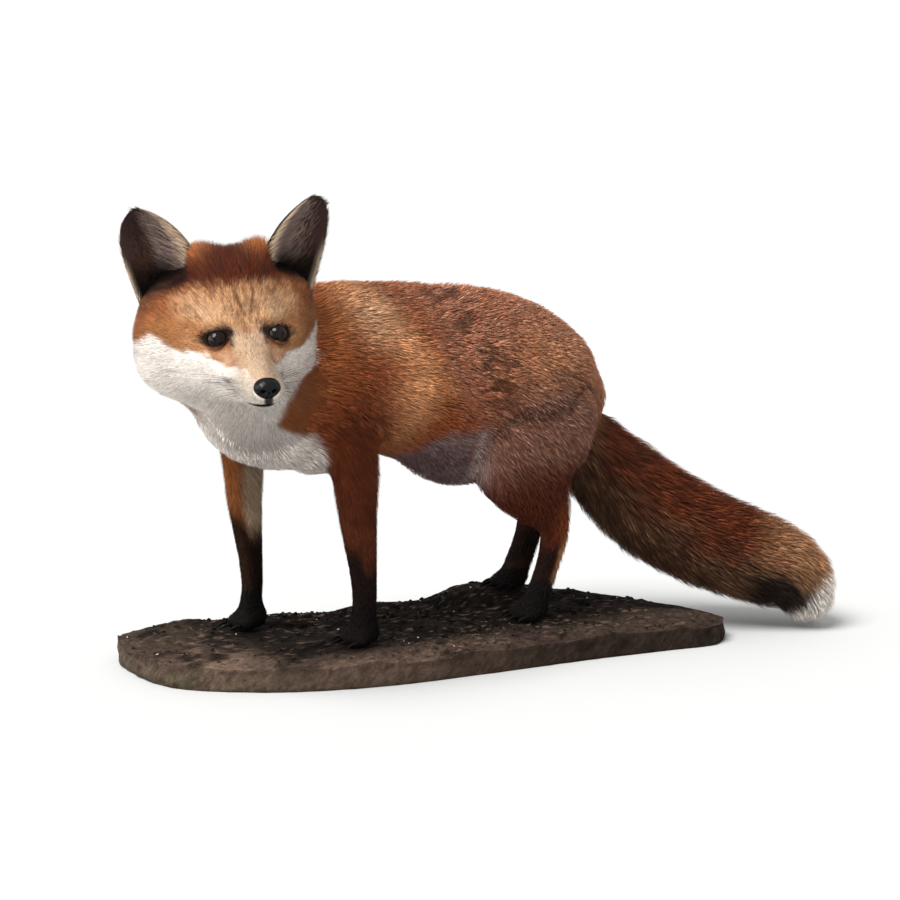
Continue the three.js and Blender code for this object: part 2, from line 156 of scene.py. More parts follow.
# The slab seen from above, and the rings of its rim as height and share of that outline.
SLAB_OUTLINE = [
    (-20, -298), (28, -268), (74, -200), (104, -110), (116, 0), (124, 120), (136, 215), (141, 266),
    (112, 298), (58, 294), (0, 270), (-68, 224), (-106, 130), (-116, 50), (-122, -50), (-142, -150),
    (-156, -222), (-150, -274), (-98, -298),
]  # fmt: skip
RIM_RINGS = (
    (0.0, 0.975), (0.0, 0.992), (1.5, 0.999), (4.5, 1.001), (8.0, 1.0), (12.0, 1.0), (16.0, 0.999),
    (19.5, 0.998),
)  # fmt: skip

# The slab's points round each ring, the rings of its top, which crowd towards the rim as the sine
# of a growing angle up to RING_TURN does, and the least height of the top.
RIM_POINTS = 430
TOP_RINGS = 105
RING_TURN = 1.4765
LOWEST_TOP = 20.5

# How many loose crumbs lie on the ground, and which share of them are chips of lime.
CRUMBS = 1250
CHIPS = 0.025

# The long hairs in each ear.
EAR_HAIRS = 1400

# How wide a tuft's patch of the baking map is, as a share of the map.
BAKE_PATCH = 0.003

# A colour mix's two inputs and its output, which share their names with those of other types.
MIX_COLOURS = (6, 7)
MIXED_COLOUR = 2

# The camera's distance in metres from the place on the ground that it looks over.
CAMERA_DISTANCE = 2.4
CAMERA_AIM = (0.032, 0.008)

# The underfur is painted this much darker than the hair above it, as shade in the depth of the coat.
UNDERFUR_SHADE = 0.78

# ---- small tools ----


def linear(code):
    """Turns an sRGB hex colour into linear red, green and blue."""
    value = np.array([int(code[i : i + 2], 16) for i in (1, 3, 5)]) / 255
    return np.where(value <= 0.04045, value / 12.92, ((value + 0.055) / 1.055) ** 2.4)


def ramp(value, low, high):
    """A smooth step: 0 up to low, 1 from high, and 3t^2 - 2t^3 between them."""
    t = np.clip((value - low) / (high - low), 0, 1)
    return t * t * (3 - 2 * t)


def bell(value, width):
    """1 at nought, falling off as exp(-(value / width)^2)."""
    return np.exp(-((value / width) ** 2))


def unit(vectors):
    """Vectors at length one."""
    return vectors / np.maximum(np.linalg.norm(vectors, axis=-1, keepdims=True), 1e-9)


def dot(a, b):
    """The products of vectors, row by row."""
    return (a * b).sum(axis=-1)


def stacked(*parts):
    """Coordinates joined as the last axis. Any of them may be a single number."""
    return np.stack(np.broadcast_arrays(*parts), axis=-1)


def folded(points, across):
    """Places with the right half of the body laid over the left, by how far across they lie."""
    return stacked(np.abs(across), points[:, 1], points[:, 2])


def turned(axis, degrees):
    """The matrix of a turn about the axis numbered 0, 1 or 2."""
    c, s = np.cos(np.radians(degrees)), np.sin(np.radians(degrees))
    i, j = (axis + 1) % 3, (axis + 2) % 3
    matrix = np.eye(3)
    matrix[i, i] = matrix[j, j] = c
    matrix[i, j], matrix[j, i] = -s, s
    return matrix


HEAD_AT = np.array([47.0, -239.0, 356.0])
HEAD_TURN = turned(2, 74) @ turned(0, 10) @ turned(1, -3)


def to_head(points):
    """Places of the fox in the head's own frame."""
    return (points - HEAD_AT) @ HEAD_TURN


def from_head(points):
    """Places of the head's own frame in the fox's."""
    return points @ HEAD_TURN.T + HEAD_AT


def lattice(cell, seed):
    """A fixed number from 0 to 1 for each whole-numbered cell, by mixing the bits of its place."""
    x, y, z = ((cell[:, k] & 0xFFFFFFFF).astype(np.uint64) for k in range(3))
    mixed = x * np.uint64(73856093) ^ y * np.uint64(19349663) ^ z * np.uint64(83492791)
    mixed = (mixed + np.uint64(seed * 977 + 131)) * np.uint64(2654435761)
    mixed = (mixed ^ (mixed >> np.uint64(15))) * np.uint64(2246822519)
    mixed ^= mixed >> np.uint64(13)
    return (mixed & np.uint64(0xFFFFFF)).astype(float) / 0xFFFFFF


def noise(points, scale, seed=0):
    """Noise from -1 to 1: each point blends its cell's eight corner numbers with smooth steps."""
    place = points / scale
    cell = np.floor(place).astype(np.int64)
    t = place - cell
    t = t * t * (3 - 2 * t)
    total = np.zeros(len(points))
    for corner in np.ndindex(2, 2, 2):
        corner = np.array(corner)
        share = np.prod(np.where(corner, t, 1 - t), axis=1)
        total += share * lattice(cell + corner, seed)
    return 2 * total - 1


def layered(points, scale, layers, seed=0):
    """Layers of noise, each of half the size and half the height of the one before."""
    parts = [noise(points, scale / 2**k, seed + k) / 2**k for k in range(layers)]
    return sum(parts) / (2 - 2 ** (1 - layers))


def blend(base, colour, share):
    """Colours moved towards one colour, or towards as many colours, by a share per point."""
    return base + (colour - base) * np.clip(share, 0, 1)[:, None]


def spot(points, centre, radii):
    """1 at the centre, falling off as exp(-d^2), where d is the distance in radii."""
    return np.exp(-((((points - np.array(centre)) / np.array(radii)) ** 2).sum(axis=1)))


def to_path(points, path):
    """The nearest place on a polyline: its share of the length, its distance, and the direction."""
    path = np.asarray(path, float)
    start, step = path[:-1], path[1:] - path[:-1]
    length = np.linalg.norm(step, axis=1)
    offset = points[:, None] - start[None]
    t = np.clip((offset * step).sum(-1) / length**2, 0, 1)
    distance = np.linalg.norm(offset - t[..., None] * step, axis=-1)
    best = distance.argmin(axis=1)
    row = np.arange(len(points))
    before = np.concatenate([[0], np.cumsum(length)])
    share = (before[best] + t[row, best] * length[best]) / before[-1]
    return share, distance[row, best], (step / length[:, None])[best]


def node_of(tree, kind, settings=None, links=None):
    """Adds a node. Settings go to its own fields or its inputs, and links join inputs to outputs."""
    node = tree.nodes.new("ShaderNode" + kind)
    for key, value in (settings or {}).items():
        if key in node.inputs:
            node.inputs[key].default_value = value
        else:
            setattr(node, key, value)
    for key, source in (links or {}).items():
        tree.links.new(source, node.inputs[key])
    return node


def material_of(name, settings, paint):
    """A principled material. paint gets the tree, and gives the sockets to link by input name."""
    if name in bpy.data.materials:
        raise ValueError(f"a finish named {name} is there already")
    material = bpy.data.materials.new(name)
    material.use_nodes = True
    tree = material.node_tree
    tree.nodes.clear()
    surface = node_of(tree, "BsdfPrincipled", settings, paint(tree))
    node_of(tree, "OutputMaterial", links={"Surface": surface.outputs["BSDF"]})
    return material


def mesh_object(name, points, faces, material, smooth=True, colours=None):
    """An object at the origin from points in millimetres and one array of equal-sided faces."""
    mesh = bpy.data.meshes.new(name)
    corners = faces.shape[1]
    mesh.vertices.add(len(points))
    mesh.vertices.foreach_set("co", (points * MM).astype(np.float32).ravel())
    mesh.loops.add(faces.size)
    mesh.loops.foreach_set("vertex_index", faces.astype(np.int32).ravel())
    mesh.polygons.add(len(faces))
    mesh.polygons.foreach_set("loop_start", np.arange(0, faces.size, corners, dtype=np.int32))
    mesh.polygons.foreach_set("use_smooth", np.full(len(faces), smooth))
    mesh.update(calc_edges=True)
    if colours is not None:
        paint_points(mesh, colours)
    mesh.materials.append(material)
    made = bpy.data.objects.new(name, mesh)
    bpy.context.scene.collection.objects.link(made)
    return made


def paint_points(mesh, colours):
    """Stores one linear colour per point in the attribute that the materials read."""
    attribute = mesh.color_attributes.new(TINT, "FLOAT_COLOR", "POINT")
    filled = np.ones((len(colours), 4), np.float32)
    filled[:, :3] = colours
    attribute.data.foreach_set("color", filled.ravel())


def settled(piece, slot, *nodes):
    """Every piece rides on the one body and hides the nodes that it stands for. Its slot is not used."""
    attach(piece, "root")
    if nodes:
        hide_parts(*nodes)


def read_mesh(mesh):
    """A mesh's points in millimetres and its triangles."""
    points = np.empty(len(mesh.vertices) * 3)
    mesh.vertices.foreach_get("co", points)
    mesh.calc_loop_triangles()
    faces = np.empty(len(mesh.loop_triangles) * 3, np.int32)
    mesh.loop_triangles.foreach_get("vertices", faces)
    return points.reshape(-1, 3) / MM, faces.reshape(-1, 3)


def grid_faces(rows, columns, around=False):
    """Quads between neighbouring rows of a grid, whose columns may close into a ring."""
    i = np.arange(rows - 1)[:, None]
    j = np.arange(columns if around else columns - 1)[None]
    near, far = i * columns, (i + 1) * columns
    k = (j + 1) % columns
    return np.stack([near + j, near + k, far + k, far + j], axis=-1).reshape(-1, 4)


def triangles_of(quads):
    """Each quad as two triangles."""
    return np.concatenate([quads[:, [0, 1, 2]], quads[:, [0, 2, 3]]])


def fan_faces(first, count, tip, reverse=False):
    """Triangles that close a ring of points, numbered from first, towards one tip."""
    j = first + np.arange(count)
    k = np.roll(j, -1)
    return stacked(k, j, tip) if reverse else stacked(j, k, tip)


class Net:
    """Which points of a mesh are neighbours, for averages over them."""

    def __init__(self, faces, count):
        pairs = np.concatenate([faces[:, [0, 1]], faces[:, [1, 2]], faces[:, [2, 0]]])
        pairs = np.unique(np.sort(pairs, axis=1), axis=0)
        both = np.concatenate([pairs, pairs[:, ::-1]])
        both = both[np.argsort(both[:, 0], kind="stable")]
        self.pairs = pairs
        self.other = both[:, 1]
        self.start = np.searchsorted(both[:, 0], np.arange(count))
        self.degree = np.bincount(both[:, 0], minlength=count)

    def mean(self, values):
        total = np.add.reduceat(values[self.other], self.start, axis=0)
        return total / (self.degree[:, None] if values.ndim > 1 else self.degree)

    def smooth(self, values, times, share=0.5):
        for _ in range(times):
            values = values + (self.mean(values) - values) * share
        return values


def face_normals(points, faces):
    """Each triangle's normal, as long as twice its area."""
    a, b, c = (points[faces[:, k]] for k in range(3))
    return np.cross(b - a, c - a)


def point_normals(points, faces):
    """The area-weighted average of the normals of the faces around each point."""
    flat = face_normals(points, faces)
    total = np.zeros_like(points)
    for k in range(3):
        for axis in range(3):
            total[:, axis] += np.bincount(faces[:, k], flat[:, axis], len(points))
    return unit(total)


def outward(points, faces):
    """The faces, all turned over if the closed body they make is inside out."""
    a, b, c = ((points - points.mean(axis=0))[faces[:, k]] for k in range(3))
    return faces[:, ::-1] if dot(a, np.cross(b, c)).sum() < 0 else faces


# ---- the body's parts: where the hair lies, how long it is and how deep the coat ----


def kind_of(name):
    """The sort of body part that a node's name tells."""
    return name.split("_")[name.startswith("leg")]


def side_of_midline(local):
    """How far places in the head's frame lie to the left of its slightly bent midline."""
    return local[:, 0] - np.interp(local[:, 1], *MIDLINE)


def eye_frame(side):
    """An eye's axes in the head's frame: outwards to its own side, up, and the way it looks."""
    look = unit(np.array([side * 0.46, -0.88, 0.1]))
    up = unit(np.array([0, 0, 1.0]) - look * look[2])
    return np.stack([np.cross(up, look) * side, up, look])


def lid_shape(local, side):
    """How far a point lies from the middle of the lids' opening, where 1 is the lids' edge, and
    its places outwards, upwards and along the look. The opening is the lens
    sqrt(|u / w|^2.2 + |v / h|^1.8), whose outer corner droops."""
    offset = local - EYE_AT * np.array([side, 1, 1])
    u, v, ahead = (dot(offset, axis) for axis in eye_frame(side))
    middle = 1.6 - 0.16 * u
    height = np.where(v > middle, 5.0, 5.2)
    edge = (np.abs((u + 0.5) / 10.6) ** 2.2 + np.abs((v - middle) / height) ** 1.8) ** 0.5
    return edge, u, v, ahead


def crease_distance(points):
    """How far places on the outer sides are from the fold between the flank and either thigh."""
    return to_path(points * [0, 1, 1], CREASE)[1] + 40 * (np.abs(points[:, 0]) < 34)


def coat_rules(points, normals, share):
    """For each point, by its shares of the parts: the coat's depth, the hair's length and width,
    and the way it lies. All are blends of one rule for each part."""
    local = to_head(points)
    _, y, z = points.T
    a = np.abs(side_of_midline(local))
    front = 1 - ramp(local[:, 1], -62, -20)
    face = 1 - ramp(local[:, 1], -36, 2) * 0.99
    ruff = ramp(a, 50, 80) * (1 - ramp(local[:, 2], -8, 18)) * ramp(local[:, 1], -42, -15)
    crown = ramp(local[:, 1], -34, -16) * (1 - ramp(local[:, 1], 30, 60)) * ramp(local[:, 2], 42, 60)
    near_ear = spot(folded(local, local[:, 0]), (82, 26, 26), (28, 30, 26))
    below = ramp(-local[:, 2], 30, 60) * ramp(local[:, 1], -70, -30)
    tail_share, _, tail_way = to_path(points, TAIL_PATH)
    _, _, neck_way = to_path(points, NECK_PATH)
    chest = ramp(-normals[:, 1], 0, 0.6)
    flank = np.abs(normals[:, 0])
    rump = ramp(y, 120, 200)
    belly = ramp(-normals[:, 2], 0.2, 0.8)
    crease = bell(crease_distance(points), 11)
    low_fore = 1 - ramp(z, 110, 215)
    low_hind = 1 - ramp(z, 110, 190)

    def mixed(*rules):
        return sum(share[kind] * rule for kind, rule in zip(KINDS, rules))

    soft = np.maximum(ruff, below)
    lip = 1 - 0.62 * (1 - ramp(mouth_distance(local)[0], 2, 9)) * ramp(-local[:, 1], 74, 88)
    thin = 1 - 0.5 * spot(local, (-38, -8, -88), (32, 30, 24))
    head_length = 4.8 + 2.5 * (1 - front) + 6 * (1 - face) + 6 * soft + 8 * crown
    depth = mixed(
        (1.6 + 3.2 * (1 - face) + 3.6 * soft * (1 - front) + 5 * crown) * (1 - 0.3 * near_ear),
        8,
        8 - 2 * belly,
        8 + 6 * ramp(tail_share, 0.05, 0.3) - 3 * ramp(tail_share, 0.9, 1),
        5 - 3.4 * low_fore,
        (7.5 - 4.8 * low_hind) * (1 - 0.6 * ramp(-normals[:, 1], 0.2, 0.7)),
        1.8,
        1.0,
    )
    length = mixed(
        head_length * (1 + 0.15 * near_ear) * lip * thin,
        (18 - 6 * chest) * thin,
        (17 - 6 * ramp(y, -50, -10) - 6 * belly) * (1 - 0.6 * crease),
        17 + 4 * ramp(tail_share, 0.03, 0.25) - 7 * ramp(tail_share, 0.85, 1),
        14 - 6.5 * low_fore,
        (11 - 3.5 * low_hind) * (1 - 0.4 * crease),
        6,
        8,
    )
    face_width = 0.7 + 0.25 * (1 - face) + 0.25 * soft
    width = mixed(face_width, 1.15, 1.15, 1.05, 1.0 - 0.2 * low_fore, 1.1 - 0.2 * low_hind, 0.85, 0.75)
    from_nose = local - np.array([2, -128, -16])
    from_nose[:, 2] -= 26 * soft + 6
    head_way = unit(from_nose) @ HEAD_TURN.T
    ways = (
        head_way,
        neck_way + np.array([0.0, 0.0, -1.0]) * (0.3 + 0.9 * chest)[:, None],
        stacked(0, 1 - 0.55 * rump, -0.3 * flank - 0.9 * rump),
        tail_way,
        stacked(0, 0.1 + 0.5 * (1 - low_fore), -1),
        stacked(0, 0.75 - 1.0 * low_hind, -0.9),
        np.array([0, -0.9, -0.6]),
        head_way,
    )
    way = sum(share[kind][:, None] * unit(one) for kind, one in zip(KINDS, ways))
    return depth, length, width, way


# ---- the skin ----


def gathered(names, grow):
    """The nodes' points pushed out by grow, their triangles, and each triangle's part number."""
    points, faces, kinds, count = [], [], [], 0
    for name in names:
        loose, corners = read_mesh(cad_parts[name].data)
        merged, index = np.unique(np.round(loose, 3), axis=0, return_inverse=True)
        corners = index.reshape(-1)[corners]
        points.append(merged + point_normals(merged, corners) * grow)
        faces.append(corners + count)
        kind = "head" if name in FILLERS else kind_of(name)
        kinds.append(np.full(len(corners), KINDS.index(kind)))
        count += len(merged)
    return np.concatenate(points), np.concatenate(faces), np.concatenate(kinds)


def evaluated(piece):
    """A working object's points and triangles after its modifiers. The object is removed."""
    seen = piece.evaluated_get(bpy.context.evaluated_depsgraph_get())
    mesh = bpy.data.meshes.new_from_object(seen)
    result = read_mesh(mesh)
    bpy.data.meshes.remove(mesh)
    bpy.data.objects.remove(piece)
    return result


def changed(points, faces, kind, **settings):
    """The points and triangles that a modifier makes of a mesh."""
    piece = mesh_object("working_shape", points, faces, None)
    modifier = piece.modifiers.new("change", kind)
    for key, value in settings.items():
        setattr(modifier, key, value)
    return evaluated(piece)


def largest(points, faces):
    """Only the biggest connected body: every point takes its neighbours' lowest number in turn."""
    pairs = Net(faces, len(points)).pairs
    label = np.arange(len(points))
    while True:
        low = np.minimum(label[pairs[:, 0]], label[pairs[:, 1]])
        after = label.copy()
        np.minimum.at(after, pairs[:, 0], low)
        np.minimum.at(after, pairs[:, 1], low)
        after = after[after][after]
        if (after == label).all():
            break
        label = after
    kept = label == np.bincount(label).argmax()
    index = np.cumsum(kept) - 1
    return points[kept], index[faces[kept[faces[:, 0]]]]


def refined(points, faces, chosen):
    """Halves each edge between two chosen points: a triangle of three chosen points becomes four,
    and one of two becomes two."""
    count = chosen[faces].sum(axis=1)
    whole, half = faces[count == 3], faces[count == 2]
    lead = (~chosen[half]).argmax(axis=1)
    half = np.take_along_axis(half, (lead[:, None] + np.arange(3)) % 3, axis=1)
    edges = [whole[:, [0, 1]], whole[:, [1, 2]], whole[:, [2, 0]], half[:, [1, 2]]]
    ends, index = np.unique(np.sort(np.concatenate(edges), axis=1), axis=0, return_inverse=True)
    index = index.reshape(-1) + len(points)
    ab, bc, ca = index[: 3 * len(whole)].reshape(3, -1)
    middle = index[3 * len(whole) :]
    a, b, c = whole.T
    top, left, right = half.T
    parts = [(a, ab, ca), (ab, b, bc), (ca, bc, c), (ab, bc, ca)]
    parts += [(top, left, middle), (top, middle, right)]
    new = [np.stack(part, axis=1) for part in parts]
    points = np.concatenate([points, points[ends].mean(axis=1)])
    return points, np.concatenate([faces[count < 2]] + new)


def shares_of(points, net, tree, kinds, times=8):
    """How much each point belongs to each part: its nearest part, averaged over its neighbours."""
    nearest = np.array([tree.find_nearest(point)[2] for point in points.tolist()])
    share = np.eye(len(KINDS))[kinds[nearest]]
    return net.smooth(share, times)


def by_kind(share):
    """The columns of shares by their parts' names."""
    return {kind: share[:, k] for k, kind in enumerate(KINDS)}


def ear_place(side):
    """The turn and the root of an ear in the head's frame."""
    return turned(1, side * 17) @ turned(2, side * EAR_TURN[side]), EAR_ROOT * np.array([side, 1, 1])


def in_ear(local, side):
    """Places in an ear's own frame: outwards, backwards and up it from its root."""
    turn, root = ear_place(side)
    inside = (local - root) @ turn
    inside[:, 0] *= side
    return inside


def ear_section(side, up):
    """An ear across, at share s of its height: its middle, its half width, and how far its wall
    bows back. The outer rim stands at 5 + (o - 5.5) sqrt(1 - s^4), the inner at
    5 - (i + 4.5)(1 - s^3)^0.8, and the bow is 20 (1 - 0.45 s) sqrt(width / (o + i))."""
    outer = 5 + (EAR_OUTER[side] - 5.5) * np.sqrt(1 - up**4)
    inner = 5 - (EAR_INNER[side] + 4.5) * (1 - up**3) ** 0.8
    half = (outer - inner) / 2
    full = EAR_INNER[side] + EAR_OUTER[side]
    return (outer + inner) / 2, half, 20 * np.sqrt(2 * half / full) * (1 - 0.45 * up)


def ear_cup(side, rows=48, columns=30):
    """The ear's front and back grids in the head's frame. Between the rims, by place p from -1 to
    1, the wall bows back by bow (1 - p^2) and is 1.1 to 2.6 thick."""
    s = np.linspace(-0.2, EAR_END, rows)[:, None]
    p = np.linspace(-1, 1, columns)[None]
    middle, half, bow = ear_section(side, np.maximum(s, 0))
    x, y, z = side * (middle + p * half), bow * (1 - p * p) + EAR_FRONT, s * EAR_HEIGHT
    turn, root = ear_place(side)
    front = stacked(x, y, z).reshape(-1, 3)
    back = stacked(x, y + EAR_RIM + EAR_SWELL * (1 - p * p), z).reshape(-1, 3)
    return front @ turn.T + root, back @ turn.T + root


def ear_opening(local, side):
    """How far a place is inside the opening that leads into an ear's cup: 1 between the rims and
    above a floor that slopes down towards the cup, 0 outside. Also its share between the rims, its
    height above that floor, its place in the ear's frame and how far the wall bows there."""
    inside = in_ear(local, side)
    across, back, up = inside.T
    middle, half, bow = ear_section(side, np.clip(up / EAR_HEIGHT, 0, EAR_END))
    p = np.clip((across - middle) / half, -1, 1)
    between = ramp(across - middle + half, 2, 12) * ramp(middle + half - across, -26, -14)
    above = up + 0.26 * back - 15 + 0.115 * across
    return between * ramp(above, -3, 3), between, above, inside, bow * (1 - p * p)


def open_ears(points):
    """Clears the head from before the ears: what lies in an ear's opening moves back along the
    ear's own depth to 4.5 behind the face of the cup."""
    local = to_head(points)
    for _, side in SIDES:
        opened, _, _, inside, wall = ear_opening(local, side)
        back = np.where(np.abs(inside[:, 1]) < 90, np.maximum(wall + 4.5 - inside[:, 1], 0), 0)
        local = local + ear_place(side)[0][:, 1] * (back * opened)[:, None]
    return from_head(local)


def ear_solid(side, rows=48, columns=30):
    """The two grids closed along the rims, the tip and the root, in the row's frame."""
    front, back = ear_cup(side, rows, columns)
    sheet = grid_faces(rows, columns)
    lower = np.arange(rows * columns).reshape(rows, columns)
    rim = np.concatenate([lower[0], lower[1:, -1], lower[-1, -2::-1], lower[-2:0:-1, 0]])
    after = np.roll(rim, -1)
    count = rows * columns
    strip = np.stack([after, rim, rim + count, after + count], axis=1)
    quads = np.concatenate([sheet, sheet[:, ::-1] + count, strip])
    points = from_head(np.concatenate([front, back]))
    return points, outward(points, triangles_of(quads))


def mouth_distance(local):
    """How far a point is from the line of the lips, and how far it lies above that line. The line
    runs round the muzzle at a height for each distance forwards, and ends behind it."""
    line = np.array(MOUTH_LINE, float)
    above = local[:, 2] - np.interp(-local[:, 1], -line[::-1, 1], line[::-1, 2])
    return np.hypot(above, np.maximum(local[:, 1] + 66, 0)), above


def carve_face(points, faces):
    """Moves the skin's points into brows, lids, muzzle, lips, ruff and crown, in the head's frame.
    Each move is a smooth hump or hollow, exp(-d^2), along the skin's normal."""
    local = to_head(points)
    near = (np.abs(local) < 130).all(axis=1)
    normals = point_normals(points, faces) @ HEAD_TURN
    mirrored = folded(local, side_of_midline(local))
    gap, above = mouth_distance(local)
    at_mouth = ramp(-local[:, 1], 60, 74)
    lift = sum(height * spot(mirrored, centre, radii) for height, centre, radii in EVEN_HUMPS)
    lift += sum(height * spot(local, centre, radii) for height, centre, radii in ODD_HUMPS)
    lift -= at_mouth * 2.6 * bell(gap, 1.5)
    lift -= at_mouth * 2.0 * ramp(-above, 0, 2) * (1 - ramp(-above, 4, 13))
    local = local + normals * (lift * near)[:, None]
    for _, side in SIDES:
        edge, u, v, ahead = lid_shape(local, side)
        centre = EYE_AT * np.array([side, 1, 1])
        out = local - centre
        reach = np.linalg.norm(out, axis=1)
        wrap = (1 - ramp(np.hypot(u, v * 1.25), 11.5, 17)) * (ahead > -2)
        lid = EYE_RADIUS + 1.25 + 0.9 * bell(edge - 1.25, 0.22) * (v > 0)
        lid = lid + 0.5 * bell(edge - 1.2, 0.2) * (v <= 0)
        target = reach + (lid - reach) * wrap
        inner = target + (EYE_RADIUS - 2.5 - target) * (1 - ramp(edge, 0.9, 1.0))
        target = np.where(ahead > -2, inner, reach)
        moved = centre + out * (target / np.maximum(reach, 1))[:, None]
        local = np.where(reach[:, None] < 26, moved, local)
    return np.where(near[:, None], from_head(local), points)


def eased(net, points, times):
    """Smooths a skin, but its toes three times less, which keeps them apart."""
    toes = (1 - ramp(points[:, 2], 50, 66)) * (points[:, 1] < 180)
    return blend(net.smooth(points, times), net.smooth(points, times - 3), toes)


def sinking(points, faces, net, share):
    """How deep the skin lies under the nodes: a share of the coat's depth, more in the creases, at
    the throat and under the belly, and less between the forelegs."""
    normals = point_normals(points, faces)
    part = by_kind(share)
    y = points[:, 1]
    depth = coat_rules(points, normals, part)[0]
    depth = depth * (SUNK - 0.1 * part["tail"]) + 0.3
    depth = depth + 6 * bell(crease_distance(points), 7)
    depth = depth + 10 * spot(points, (5, -268, 262), (60, 42, 28)) * part["neck"]
    depth = depth - 6 * spot(points, (40, -138, 222), (22, 20, 16))
    belly = ramp(-normals[:, 2], 0.2, 0.8) * part["trunk"]
    depth = depth + belly * (1 - ramp(y, -20, 10)) * np.interp(y, [-130, -100], [-3, 2])
    return net.smooth(depth, 14)


def with_ears(points, faces):
    """The skin with both ears joined on by exact unions, and without any loose part."""
    body = mesh_object("skin", points, faces, None)
    ears = []
    for name, side in SIDES:
        ears.append(mesh_object("working_ear_" + name, *ear_solid(side), None))
        union = body.modifiers.new("join_" + name, "BOOLEAN")
        union.operation = "UNION"
        union.solver = "EXACT"
        union.object = ears[-1]
    joined = evaluated(body)
    for ear in ears:
        bpy.data.objects.remove(ear)
    return largest(*joined)


def make_skin():
    """The nodes of flesh become one body of small voxels, smoothed, and sunk by a share of the
    coat's depth in small steps. The face is refined and carved, and the ears are joined on. Each
    point then gets its shares of the parts, the coat's rules and the way the hair lies."""
    # One body: the nodes grow by half a millimetre, which closes the gaps between them.
    points, faces, kinds = gathered(FLESH + FILLERS, 0.5)
    tree = BVHTree.FromPolygons(points.tolist(), faces.tolist())
    voxels = {"mode": "VOXEL", "voxel_size": bpy.context.scene.fox_coat.voxel}
    points, faces = changed(points, faces, "REMESH", **voxels)
    points = open_ears(points)
    points, faces = largest(*changed(points, faces, "REMESH", **voxels))

    # The skin's own surface under the coat.
    net = Net(faces, len(points))
    share = shares_of(points, net, tree, kinds)
    points = eased(net, points, 5)
    depth = sinking(points, faces, net, share)
    for _ in range(SINK_STEPS):
        normals = unit(net.smooth(point_normals(points, faces), 2))
        points = net.smooth(points - normals * (depth / SINK_STEPS)[:, None], 1, 0.25)
    points, faces = largest(*changed(points, faces, "REMESH", **voxels))
    points = eased(Net(faces, len(points)), points, 4)

    # Finer facets for the face, in two windows of its front, and then the face and the ears.
    for front, half_width in ((-34, 62), (-42, 50)):
        local = to_head(points)
        wide = np.abs(local[:, 0]) < half_width
        points, faces = refined(points, faces, (local[:, 1] < front) & wide & (np.abs(local[:, 2]) < 62))
    rounded = Net(faces, len(points)).smooth(points, 3)
    points = np.where((to_head(points)[:, 1] < -30)[:, None], rounded, points)
    points, faces = with_ears(carve_face(points, faces), faces)

    # What the coat needs at each point. The hair's way is smoothed along the skin.
    net = Net(faces, len(points))
    share = shares_of(points, net, tree, kinds)
    on, _ = on_ear(points)
    share[:, :-1] *= 1 - on[:, None]
    share[:, -1] = on
    normals = point_normals(points, faces)
    depth, length, width, way = coat_rules(points, normals, by_kind(share))
    for _ in range(12):
        way = net.smooth(unit(way), 2)
        way = way - normals * dot(way, normals)[:, None]
    bend = net.smooth(bending(points, normals, unit(way), net), 6)
    return dict(
        points=points, faces=faces, normals=normals, share=share, way=unit(way),
        bend=bend, rules=np.stack([net.smooth(depth, 6), length, width], axis=1),
    )  # fmt: skip


def on_ear(points):
    """1 on the ears and 0 elsewhere, and 1 on their fronts: by the nearest place on their grids."""
    local = to_head(points)
    on, front = np.zeros(len(points)), np.zeros(len(points))
    for _, side in SIDES:
        across, back, up = in_ear(local, side).T
        middle, half, bow = ear_section(side, np.clip(up / EAR_HEIGHT, 0, EAR_END))
        p = np.clip((across - middle) / half, -1, 1)
        face = bow * (1 - p * p) + EAR_FRONT
        wall = EAR_RIM + EAR_SWELL * (1 - p * p)
        before = back < face + wall / 2
        off = np.where(before, face, face + wall) - back
        beyond = np.maximum(0, np.abs(across - middle) - half)
        here = (np.abs(off) < 0.25) & (beyond < 0.3) & (up < EAR_HEIGHT)
        on = np.where(here, 1, on)
        front = np.where(here & before, 1, front)
    return on, front


def bending(points, normals, way, net):
    """How fast the skin curves away along the hair: over all edges at a point, the normals'
    change along the way, by the distance gone that way."""
    a, b = net.pairs.T
    top, bottom = np.zeros(len(points)), np.zeros(len(points))
    for one, other in ((a, b), (b, a)):
        gone = dot(points[other] - points[one], way[one])
        change = dot(normals[other] - normals[one], way[one])
        top += np.bincount(one, gone * change, len(points))
        bottom += np.bincount(one, gone * gone, len(points))
    return np.clip(top / np.maximum(bottom, 1e-6), -0.02, 0.05)


# ---- the markings, the same on skin and hair ----


def hue(tint):
    """A colour of the settings by its name, in linear red, green and blue. A colour that is
    worked out already stays as it is."""
    return np.array(getattr(bpy.context.scene.fox_coat, tint)) if isinstance(tint, str) else tint


def painted(colour, *layers):
    """Blends layers over a colour in turn. A layer is a colour or its name, and its share."""
    colour = hue(colour)
    for tint, share in layers:
        colour = blend(colour, hue(tint), share)
    return colour


